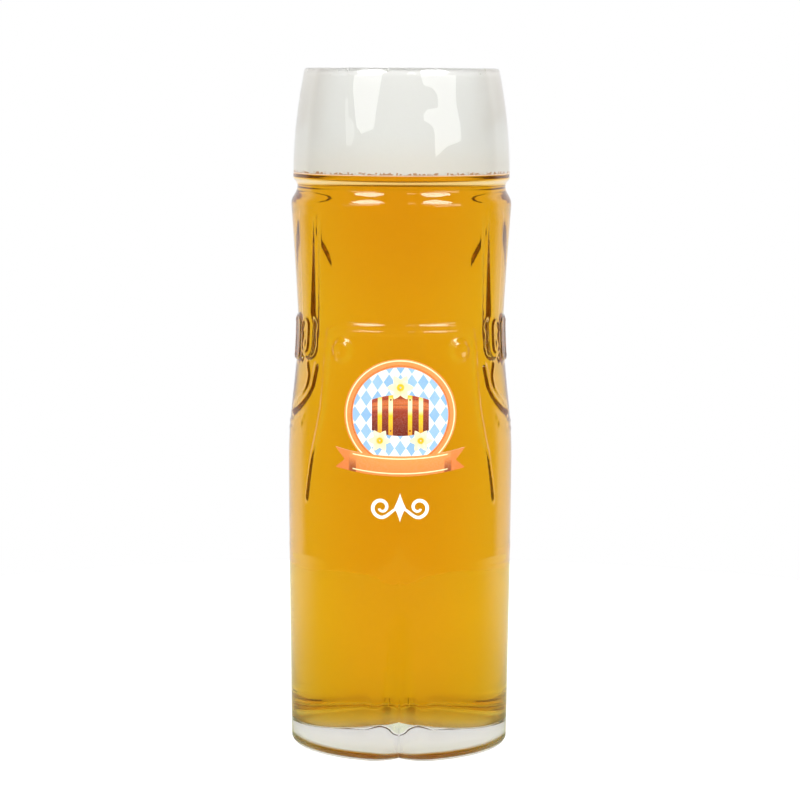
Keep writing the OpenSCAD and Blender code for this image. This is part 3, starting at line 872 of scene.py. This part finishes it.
medal = {"r": 17.75, "z": 112.6, "rim": 2.6, "lineIn": 0.55, "edgeIn": 0.45, "underIn": 0.05}
lozengeForm = {"wide": 3.6, "tall": 5.2, "gap": 0.12, "tiles": 7, "trim": 0.6}
barrelForm = {
    "wide": 18.0, "tall": 13.0, "end": 0.74, "hoops": (-0.36, -0.17, 0.17, 0.36), "hoopShare": 0.075,
    "rivetX": 3.06, "rivetZ": 4.9, "rivetR": (0.34, 0.24),
}
ribbonForm = {"wide": 41.0, "tall": 6.4, "z": 96.45, "sag": 2.24, "notch": 2.9, "under": 0.996}
flowerForm = {
    "places": [(-6.48, 104.54, 3.73), (6.48, 104.54, 3.73), (0.0, 121.37, 4.26)],  # x, z and radius
    "petals": 6, "wide": 0.27, "root": 0.05, "rootFrom": 0.06, "bend": 0.8,
}
flourishForm = {
    "wide": 19.0, "z": 83.2, "line": 0.9, "lineEnds": 0.75, "lineSwell": 0.5, "stem": 0.3,
    "curlX": 0.31, "curlR": 0.17, "curlTurn": 420.0, "curlIn": 0.74, "diamond": 3.6, "diamondBend": 1.3,
}
wrapForm = {"from": -80.0, "reach": 200.0, "weld": 0.01, "shut": 0.002}  # a ray's start and length, in y


def gridFaces(rows, cols, start=0):
    faces = []
    for i in range(rows - 1):
        for j in range(cols - 1):
            a = start + i * cols + j
            faces.append((a, a + 1, a + cols + 1, a + cols))
    return faces


def flatPiece(name, *sheets):
    # sheets of points, rows by columns, as (x, z)
    points, faces = [], []
    for sheet in sheets:
        rows, cols = sheet.shape[:2]
        corner = sheet[rows // 2, cols // 2]
        along, across = sheet[rows // 2, cols // 2 + 1] - corner, sheet[rows // 2 + 1, cols // 2] - corner
        if along[0] * across[1] < along[1] * across[0]:
            sheet = sheet[::-1]  # its faces look outward
        faces += gridFaces(rows, cols, len(points))
        points += [(x * mm, 0.0, z * mm) for x, z in sheet.reshape(-1, 2).tolist()]
    return newPiece(name, points, faces)


def polarSheet(x, z, inner, outer, rows, cols):
    r = np.linspace(inner, outer, rows)[:, None]
    a = np.linspace(0, 2 * np.pi, cols)[None, :]
    return np.stack([x + r * np.cos(a), z + r * np.sin(a)], axis=-1)


def stripSheet(low, high, rows):
    t = np.linspace(0, 1, rows)[:, None, None]
    return low[None] * (1 - t) + high[None] * t


def wrapTree():
    # moves a flat piece back on to the glass and gives it a thickness
    tree, graph, inputs, keys = newTree("laid on the glass", {
        "Glass": "Object", "Lift": "Float", "Thickness": "Float", "Weld": "Float", "Look": "Material"})
    x, z = graph.add("GeometryNodeInputPosition").split()[::2]
    outside = graph.add("ShaderNodeCombineXYZ", {}, {"X": x, "Y": wrapForm["from"] * mm, "Z": z})
    glass = graph.add("GeometryNodeObjectInfo", {"transform_space": "RELATIVE"},
                      {"Object": inputs["Glass"]}, "Geometry")
    ray = graph.add("GeometryNodeRaycast", {}, {
        "Target Geometry": glass, "Source Position": outside,
        "Ray Direction": (0.0, 1.0, 0.0), "Ray Length": wrapForm["reach"] * mm})
    hit, normal = ray.beside("Hit Position", "Hit Normal")
    lift = graph.scaled(normal, inputs["Lift"])
    spot = graph.add("ShaderNodeVectorMath", {"operation": "ADD"}, [hit, lift])
    flat = {"Geometry": inputs["Geometry"], "Distance": inputs["Weld"]}
    welded = graph.add("GeometryNodeMergeByDistance", {}, flat)
    laid = graph.add("GeometryNodeSetPosition", {}, {"Geometry": welded, "Position": spot})
    thick = graph.add("GeometryNodeExtrudeMesh", {"mode": "FACES"},
                      {"Mesh": laid, "Offset Scale": inputs["Thickness"], "Individual": False})
    both = graph.joined(thick, graph.add("GeometryNodeFlipFaces", {}, [laid]))
    shut = {"Geometry": both, "Distance": wrapForm["shut"] * mm}
    closed = graph.add("GeometryNodeMergeByDistance", {}, shut)
    closeTree(graph, closed, (inputs["Look"], None))
    return tree, keys


inkLook = {
    "white": rgb(248, 248, 246), "dimWhite": rgb(240, 241, 240), "groundBlue": rgb(226, 236, 246),
    "blue": rgb(130, 175, 220), "paleBlue": rgb(168, 203, 234), "cream": rgb(252, 240, 185),
    "orange": rgb(245, 150, 75), "deepOrange": rgb(214, 112, 44), "gold": rgb(250, 196, 22),
    "brown": rgb(166, 62, 30), "deepBrown": rgb(112, 36, 16),
    "grainScale": 2600.0, "grain": 0.05, "grainFrom": (0.35, 0.7), "grainBump": 0.12, "grainDeep": 0.00004,
    "rough": 0.3, "roughSwing": 0.12, "roughScale": 500.0, "shine": 0.35,
    "lineHalf": 0.16, "thinHalf": 0.14, "lineSoft": 0.08,
}


def inkMaterial(name, paint):
    # paint returns the colour from x and z in millimetres
    f = inkLook
    material, graph, place = newMaterial(name)
    x, z = asMillimetres(place)[::2]
    grain = graph.noise(place, f["grainScale"])
    colour = graph.mix(grain.rise(*f["grainFrom"]) * f["grain"], paint(graph, place, x, z), f["white"])
    roughness = graph.noise(place, f["roughScale"]) * f["roughSwing"] + f["rough"]
    normal = graph.bump(grain, f["grainBump"], f["grainDeep"])
    finishMaterial(graph, {
        "Base Color": colour, "Roughness": roughness, "Specular IOR Level": f["shine"], "Normal": normal})
    return material


def layPrint(piece, lift, thick, material, node):
    runTree(piece, wrap, wrapKeys, {
        "Glass": glassBody, "Lift": lift * mm, "Thickness": thick * mm, "Weld": wrapForm["weld"] * mm,
        "Look": material})
    keep(piece, node)


def ribbonSheet():
    f = ribbonForm
    v = np.linspace(0, 1, 9)[:, None]
    u = np.linspace(-1, 1, 70)[None, :]
    x = u * (f["wide"] / 2 - f["notch"] * (1 - np.abs(2 * v - 1)))
    z = f["z"] + (v - 0.5) * f["tall"] + f["sag"] * (x / f["wide"] * 2) ** 2
    return np.stack([x, z], axis=-1)


def barrelSheet(x1, x2, cols):
    f = barrelForm
    x = np.linspace(x1, x2, cols)[None, :]
    half = f["tall"] / 2 * (1 - (1 - f["end"]) * (x / (f["wide"] / 2)) ** 2)
    v = np.linspace(-1, 1, 15)[:, None]
    return np.stack([x + 0 * v, medal["z"] + v * half], axis=-1)


def hoopSheets():
    f = barrelForm
    half = f["wide"] * f["hoopShare"] / 2
    return [barrelSheet(f["wide"] * p - half, f["wide"] * p + half, 4) for p in f["hoops"]]


def petalSheets(x, z, r):
    f = flowerForm
    t = np.linspace(f["rootFrom"], 1, 12)[None, :]
    v = np.linspace(-1, 1, 5)[:, None]
    wide = f["wide"] * np.sin(np.pi * t ** f["bend"]) ** f["bend"] + f["root"] * (1 - t)
    px, pz = r * (t + 0 * v), r * wide * v
    sheets = []
    for turn in np.radians(np.arange(0, 360, 360 / f["petals"])):
        s, c = math.sin(turn), math.cos(turn)
        sheets.append(np.stack([x + px * c - pz * s, z + px * s + pz * c], axis=-1))
    return sheets


def scrollSheets():
    # on each side a stem that turns into a curl, and a diamond between them
    f = flourishForm
    curlX, curlR = f["wide"] * f["curlX"], f["wide"] * f["curlR"]
    t = np.linspace(0, 1, 90)
    onStem = t < f["stem"]
    curled = (t - f["stem"]) / (1 - f["stem"])
    a = np.radians(curled * f["curlTurn"] - 90)
    r = curlR * (1 - curled * f["curlIn"])
    x = np.where(onStem, curlX * t / f["stem"], curlX + r * np.cos(a))
    z = np.where(onStem, -curlR * ease(t / f["stem"]), r * np.sin(a))
    tangent = np.stack([np.gradient(x), np.gradient(z)], axis=-1)
    tangent /= np.linalg.norm(tangent, axis=1, keepdims=True)
    wide = f["line"] / 2 * (f["lineEnds"] + f["lineSwell"] * np.sin(np.pi * t))[:, None]
    side = np.stack([-tangent[:, 1], tangent[:, 0]], axis=-1) * wide
    line = np.stack([x, z], axis=-1)
    middle = (0, f["z"])
    sheets = [
        stripSheet(line - side + middle, line + side + middle, 3),
        stripSheet((line + side) * (-1, 1) + middle, (line - side) * (-1, 1) + middle, 3),
    ]
    v = np.linspace(-1, 1, 13)
    diamond = np.stack([f["diamond"] / 2 * (1 - np.abs(v)) ** f["diamondBend"], f["wide"] / 4 * v], axis=-1)
    sheets.append(stripSheet(diamond * (-1, 1) + middle, diamond + middle, 7).transpose(1, 0, 2))
    return sheets


def fromMiddle(x, z, px, pz):
    return ((x - px) ** 2.0 + (z - pz) ** 2.0) ** 0.5


groundPaint = {"slope": 0.04, "cloud": 0.5, "cloudScale": 120.0, "blueFrom": (4.4, 5.2)}
lozengePaint = {"second": 0.45, "cloud": 0.4, "cloudScale": 300.0}
rimPaint = {"cloud": 0.35, "cloudScale": 200.0}
ribbonPaint = {
    "shadeFrom": (-3.2, 3.2), "plain": 0.55, "fold": 0.75, "foldAt": (15.2, 0.9, 0.5), "foldLow": (2.6, -2.8),
    "end": 0.5, "endFrom": (15.9, 16.3), "lineAt": 2.35, "lineEnd": (15.3, 14.9),
}
barrelPaint = {
    "staves": 6, "shift": 10.5, "joint": 0.8, "jointFrom": (0.44, 0.49), "shadeFrom": (-1.0, 0.7),
    "glint": 0.4, "glintAt": (0.55, 0.12, 0.2),
    "streak": 0.35, "streakScale": (120.0, 1.0, 900.0), "streakFrom": (0.45, 0.75),
}
hoopPaint = {"glintAt": (0.45, 0.15, 0.35), "shade": 0.6, "shadeFrom": (-0.1, -1.0)}
flowerPaint = {
    "cloud": 0.5, "cloudScale": 700.0, "cloudFrom": (0.4, 0.8),
    "blush": 0.35, "blushFrom": (0.62, 0.2), "eyeFrom": (0.3, 0.24),  # in radii of the flower
}
whitePaint = {"cloud": 0.3, "cloudScale": 150.0}


def paintGround(graph, place, x, z):
    f = groundPaint
    blue = (z * f["slope"] + graph.noise(place, f["cloudScale"]) * f["cloud"]).rise(*f["blueFrom"])
    return graph.mix(blue, inkLook["white"], inkLook["groundBlue"])


def paintLozenges(graph, place, x, z):
    # every second lozenge is paler
    f, paint = lozengeForm, lozengePaint
    column = (x / f["wide"] + 0.5).math("FLOOR")
    row = ((z - medal["z"]) / f["tall"] + 0.5).math("FLOOR")
    odd = (column + row * 2.0).math("PINGPONG", 1.5) / 1.5
    pale = odd * paint["second"] + graph.noise(place, paint["cloudScale"]) * paint["cloud"]
    return graph.mix(pale, inkLook["blue"], inkLook["paleBlue"])


def paintRim(graph, place, x, z):
    f = inkLook
    r = fromMiddle(x, z, 0.0, medal["z"])
    edge = r.band(medal["r"] - medal["rim"] + medal["edgeIn"], f["lineHalf"], f["lineSoft"])
    line = r.band(medal["r"] - medal["lineIn"], f["lineHalf"], f["lineSoft"])
    cloud = graph.noise(place, rimPaint["cloudScale"]) * rimPaint["cloud"]
    colour = graph.mix(cloud, f["orange"], f["deepOrange"])
    return graph.mix(line, graph.mix(edge, colour, f["deepOrange"]), f["cream"])


def paintRibbon(graph, place, x, z):
    # shaded folds where the ends turn back, and a fine line along both edges
    f, paint, ink = ribbonForm, ribbonPaint, inkLook
    low = z - f["sag"] * (x / (f["wide"] / 2)) ** 2.0 - f["z"]
    side = abs(x)
    colour = graph.mix(low.rise(*paint["shadeFrom"]), ink["deepOrange"], ink["orange"])
    colour = graph.mix(paint["plain"], colour, ink["orange"])
    fold = side.band(*paint["foldAt"]) * low.rise(*paint["foldLow"])
    colour = graph.mix(fold * paint["fold"], colour, ink["deepBrown"])
    colour = graph.mix(side.rise(*paint["endFrom"]) * paint["end"], colour, ink["deepOrange"])
    line = abs(low).band(paint["lineAt"], ink["thinHalf"], ink["lineSoft"]) * side.rise(*paint["lineEnd"])
    return graph.mix(line, colour, ink["cream"])


def paintBarrel(graph, place, x, z):
    # staves of streaky wood with dark joints, lighter near the top; one stave lies across the middle
    f, paint, ink = barrelForm, barrelPaint, inkLook
    belly = 1.0 - (x / (f["wide"] / 2)) ** 2.0 * (1 - f["end"])
    v = (z - medal["z"]) / (belly * (f["tall"] / 2))
    stave = (v * (paint["staves"] / 2) + paint["shift"]).math("FRACT")
    colour = graph.mix(v.rise(*paint["shadeFrom"]), ink["deepBrown"], ink["brown"])
    colour = graph.mix(v.band(*paint["glintAt"]) * paint["glint"], colour, ink["orange"])
    along = graph.add("ShaderNodeMapping", {}, {"Vector": place, "Scale": paint["streakScale"]})
    streaks = graph.noise(along, 1.0).rise(*paint["streakFrom"]) * paint["streak"]
    colour = graph.mix(streaks, colour, ink["deepBrown"])
    return graph.mix(abs(stave - 0.5).rise(*paint["jointFrom"]) * paint["joint"], colour, ink["deepBrown"])


def paintHoops(graph, place, x, z):
    f, paint, ink = barrelForm, hoopPaint, inkLook
    v = (z - medal["z"]) / (f["tall"] / 2)
    colour = graph.mix(v.band(*paint["glintAt"]), ink["gold"], ink["cream"])
    colour = graph.mix(v.rise(*paint["shadeFrom"]) * paint["shade"], colour, ink["deepOrange"])
    rivet = fromMiddle(abs(x), abs(z - medal["z"]), f["rivetX"], f["rivetZ"]).rise(*f["rivetR"])
    return graph.mix(rivet, colour, ink["deepBrown"])


def paintFlowers(graph, place, x, z):
    f, ink = flowerPaint, inkLook
    cloud = graph.noise(place, f["cloudScale"]).rise(*f["cloudFrom"]) * f["cloud"]
    colour = graph.mix(cloud, ink["cream"], ink["white"])
    for px, pz, r in flowerForm["places"]:
        away = fromMiddle(x, z, px, pz)
        blush = away.rise(*[r * share for share in f["blushFrom"]]) * f["blush"]
        colour = graph.mix(blush, colour, ink["orange"])
        colour = graph.mix(away.rise(*[r * share for share in f["eyeFrom"]]), colour, ink["gold"])
    return colour


def paintWhite(graph, place, x, z):
    cloud = graph.noise(place, whitePaint["cloudScale"]) * whitePaint["cloud"]
    return graph.mix(cloud, inkLook["white"], inkLook["dimWhite"])


def fieldTree():
    # a field of upright lozenges, trimmed to a round edge
    tree, graph, inputs, keys = newTree("field of lozenges", {
        "Columns": "Int", "Rows": "Int", "Wide": "Float", "Tall": "Float", "Gap": "Float",
        "Reach": "Float", "Height": "Float"})
    wide, tall, gap, reach = [inputs[name] for name in ("Wide", "Tall", "Gap", "Reach")]
    columns, rows = inputs["Columns"], inputs["Rows"]
    grid = graph.add("GeometryNodeMeshGrid", {}, {
        "Size X": wide * (columns - 1.0), "Size Y": tall * (rows - 1.0),
        "Vertices X": columns, "Vertices Y": rows})
    tiles = lozengeForm["tiles"]
    tile = graph.add("GeometryNodeMeshGrid", {}, {
        "Size X": 1.0, "Size Y": 1.0, "Vertices X": tiles, "Vertices Y": tiles})
    turned = graph.add("GeometryNodeTransform", {}, {
        "Geometry": tile, "Rotation": (0.0, 0.0, math.radians(45))})
    size = graph.add("ShaderNodeCombineXYZ", {}, {
        "X": (wide - gap) / math.sqrt(2), "Y": (tall - gap) / math.sqrt(2), "Z": 1.0})
    lozenge = graph.add("GeometryNodeTransform", {}, {"Geometry": turned, "Scale": size})
    many = graph.add("GeometryNodeInstanceOnPoints", {}, {"Points": grid, "Instance": lozenge})
    field = graph.add("GeometryNodeRealizeInstances", {}, [many])
    place = graph.add("GeometryNodeInputPosition")
    away = graph.add("ShaderNodeVectorMath", {"operation": "LENGTH"}, [place], 1)
    pulled = graph.scaled(place, (reach / away.most(0.0001)).least(1.0))
    outside = away > reach + lozengeForm["trim"] * mm
    kept = graph.add("GeometryNodeDeleteGeometry", {"domain": "FACE"},
                     {"Geometry": field, "Selection": outside})
    trimmed = graph.add("GeometryNodeSetPosition", {}, {"Geometry": kept, "Position": pulled})
    lift = graph.add("ShaderNodeCombineXYZ", {}, {"Z": inputs["Height"]})
    closeTree(graph, graph.add("GeometryNodeTransform", {}, {
        "Geometry": trimmed, "Rotation": (math.radians(90), 0.0, 0.0), "Translation": lift}))
    return tree, keys


def buildLozenges():
    f = lozengeForm
    piece = flatPiece("printLozenges")
    columns, rows = [2 * math.ceil(medal["r"] / f[side]) + 1 for side in ("wide", "tall")]
    runTree(piece, *fieldTree(), {
        "Columns": columns, "Rows": rows, "Wide": f["wide"] * mm, "Tall": f["tall"] * mm,
        "Gap": f["gap"] * mm, "Reach": (medal["r"] - medal["rim"] * 0.5) * mm, "Height": medal["z"] * mm})
    return piece


print("print")
wrap, wrapKeys = wrapTree()
medalDisc = polarSheet(0.0, medal["z"], 0.0, medal["r"] - medal["underIn"], 20, 97)
medalRing = polarSheet(0.0, medal["z"], medal["r"] - medal["rim"], medal["r"], 5, 145)
petals = [sheet for spot in flowerForm["places"] for sheet in petalSheets(*spot)]
barrelHalf = barrelForm["wide"] / 2
# each layer: how far off the glass, how thick, its ink and its node
layPrint(flatPiece("printUnderbase", medalDisc, ribbonSheet() * (ribbonForm["under"], 1.0)), 0.0, 0.1,
         inkMaterial("white ground ink", paintGround), "print_underbase")
layPrint(buildLozenges(), 0.09, 0.05,
         inkMaterial("blue ink", paintLozenges), "print_lozenges")
layPrint(flatPiece("printMedalRim", medalRing), 0.08, 0.1,
         inkMaterial("orange ink of the rim", paintRim), "print_medal_rim")
layPrint(flatPiece("printBarrel", barrelSheet(-barrelHalf, barrelHalf, 37)), 0.12, 0.06,
         inkMaterial("brown ink", paintBarrel), "print_barrel")
layPrint(flatPiece("printHoops", *hoopSheets()), 0.17, 0.04,
         inkMaterial("gold ink", paintHoops), "print_hoops")
layPrint(flatPiece("printFlowers", *petals), 0.18, 0.05,
         inkMaterial("cream ink", paintFlowers), "print_flowers")
layPrint(flatPiece("printRibbon", ribbonSheet()), 0.16, 0.06,
         inkMaterial("orange ink of the ribbon", paintRibbon), "print_ribbon")
layPrint(flatPiece("printFlourish", *scrollSheets()), 0.0, 0.12,
         inkMaterial("white ink", paintWhite), "print_flourish")


# Studio: white room, pale table, soft boxes in front

roomForm = {
    "around": 0.15, "inside": 1.34, "front": 0.03, "behind": 0.9, "behindFrom": (0.34, 0.6),
    "through": 1.0, "over": 0.5, "overFrom": (0.62, 0.30), "warm": (1.0, 0.86, 0.76), "warmTo": (0.2, 0.9),
}
tableForm = {
    "r": 340.0, "drop": 0.1, "colour": 0.5, "rough": 0.8, "grain": 0.01, "grainScale": 40.0, "glow": 0.85,
    "near": 0.65, "far": 0.86, "farFrom": (40.0, 260.0),  # seen through the glass, darker near it: a painted shadow
    "mirrored": 0.84, "mirrorFrom": (-50.0, 150.0), "amber": (0.32, 0.40, 0.08),  # seen in the glass: darker towards the front, a painted reflection, and amber, painted light from the beer
}
cardForm = {
    "distance": 1.2, "height": 0.14,
    "cards": [  # name, radiance, outline as azimuth and elevation
        ("left card", 3.4, [
            (-49, 12), (-43, 11), (-36, 11.6), (-30, 12.4), (-28, 17), (-25, 22), (-22, 26), (-58, 26),
            (-58, 20), (-53, 16)]),
        ("left strip", 1.5, [
            (-66, 17.3), (-63.3, 12.9), (-60, 8.2), (-55, 8), (-51, 10), (-52.8, 12.8), (-59.6, 13.8),
            (-62.4, 17.6)]),
        ("left lamp", 12.0, [
            (-60, 38), (-53, 31), (-45, 27), (-33, 27), (-26, 31), (-19, 38), (-26, 48), (-33, 53),
            (-45, 53), (-53, 48)]),
        ("right card", 3.4, [
            (20, 26), (25, 22.6), (35, 21.6), (40.7, 19.8), (40, 17), (28, 17), (23.4, 16.1), (24, 14.5),
            (33, 13.2), (35.3, 11.6), (34.9, 8.2), (36, 6.1), (41.5, 7), (48.5, 7.9), (57.6, 8.2),
            (65.6, 8.5), (66, 11.7), (62.6, 16.3), (64, 19.5), (67.3, 22.2), (66, 26)]),
        ("right lamp", 12.0, [
            (22, 38), (29, 31), (37, 27), (49, 27), (56, 31), (63, 38), (56, 48), (49, 53), (37, 53),
            (29, 48)]),
        ("middle lamp", 3.0, [(6, 31), (17, 31), (16, 40), (7, 40)]),
    ],
}


def buildWorld():
    # white to the camera, bright behind the glass, dim in front of it so that its edges show
    f = roomForm
    world = bpy.data.worlds.new("studio")
    scene.world = world
    world.use_nodes = True
    graph = Graph(world.node_tree)
    isCamera, isGlossy, isThrough, depth = graph.add("ShaderNodeLightPath").beside(
        "Is Camera Ray", "Is Glossy Ray", "Is Transmission Ray", "Diffuse Depth")
    scattered = depth > 0.5
    dy, dz = graph.add("ShaderNodeTexCoord", {}, {}, "Generated").split()[1:]
    through = dz.rise(*f["overFrom"]) * (f["through"] - f["over"]) + f["over"]
    mirrored = dy.rise(*f["behindFrom"]) * (f["behind"] - f["front"]) + f["front"]
    seen = through * isThrough + mirrored * isGlossy * (1.0 - isThrough)
    clear = (isThrough + isGlossy).least(1.0) * (1.0 - scattered)
    plain = isThrough * (f["inside"] - f["around"]) + f["around"]
    level = seen * clear + plain * (1.0 - clear)
    level = level * (1.0 - isCamera) + isCamera
    warm = graph.mix(level.rise(*f["warmTo"]), f["warm"], grey(1.0))
    sky = graph.add("ShaderNodeBackground", {}, {"Color": warm, "Strength": level})
    graph.add("ShaderNodeOutputWorld", {}, {"Surface": sky})


def tableMaterial():
    f = tableForm
    material, graph, place = newMaterial("pale table")
    rough = graph.noise(place, f["grainScale"]) * f["grain"] + f["rough"]
    isThrough, isGlossy = graph.add("ShaderNodeLightPath").beside("Is Transmission Ray", "Is Glossy Ray")
    x, y = asMillimetres(place)[:2]
    # painted shadow: seen through the glass, the floor is darker near it
    away = ((x ** 2.0 + y ** 2.0) ** 0.5).rise(*f["farFrom"])
    through = graph.mix(away, grey(f["near"]), grey(f["far"]))
    # painted reflection: where the glass mirrors it, the floor is dark towards the front
    mirrored = graph.mix(y.rise(*f["mirrorFrom"]), grey(0.0), grey(f["mirrored"]))
    glow = graph.mix(isThrough, graph.mix(isGlossy, grey(1.0), mirrored), through)
    finishMaterial(graph, {
        # painted light: where the glass mirrors it, the floor is amber as if lit through the beer
        "Base Color": graph.mix(isGlossy, grey(f["colour"]), f["amber"]), "Roughness": rough,
        "Specular IOR Level": 0.0, "Emission Color": glow, "Emission Strength": f["glow"]})
    return material


def buildTable():
    f = tableForm
    sheet = polarSheet(0.0, 0.0, 0.0, f["r"], 12, 97)
    points = [(x * mm, z * mm, -f["drop"] * mm) for x, z in sheet.reshape(-1, 2).tolist()]
    faces = [face[::-1] for face in gridFaces(*sheet.shape[:2])]  # its upper side is outward
    table = newPiece("floor", points, faces)
    table.data.materials.append(tableMaterial())


def buildLights():
    f = cardForm
    for name, radiance, outline in f["cards"]:
        turn, lift = np.radians(np.array(outline, dtype=float)).T
        towards = [np.sin(turn) * np.cos(lift), -np.cos(turn) * np.cos(lift), np.sin(lift)]
        points = np.column_stack(towards) * f["distance"] + (0, 0, f["height"])
        card = newPiece(name, points.tolist(), [list(range(len(outline)))])
        material, graph = newMaterial(name)[:2]
        light = graph.add("ShaderNodeEmission", {}, {"Strength": radiance})
        graph.add("ShaderNodeOutputMaterial", {}, {"Surface": light})
        card.data.materials.append(material)
        card.visible_camera = False
        card.visible_transmission = False


print("studio")
buildWorld()
buildTable()
buildLights()


cameraForm = {
    "away": 0.883, "height": 0.2166, "pitch": -6.67, "roll": -0.26, "turn": 0.04,
    "lens": 121.25, "sensor": 36.0, "nearest": 0.01,
}


def placeCamera():
    f = cameraForm
    lens = bpy.data.cameras.new("camera")
    lens.lens = f["lens"]
    lens.sensor_width = f["sensor"]
    lens.clip_start = f["nearest"]
    camera = bpy.data.objects.new("camera", lens)
    camera.location = (0.0, -f["away"], f["height"])
    camera.rotation_euler = [math.radians(angle) for angle in (90 + f["pitch"], f["roll"], f["turn"])]
    scene.collection.objects.link(camera)
    scene.camera = camera


print("camera")
placeCamera()
scene.view_settings.view_transform = "Standard"

bpy.context.view_layer.update()
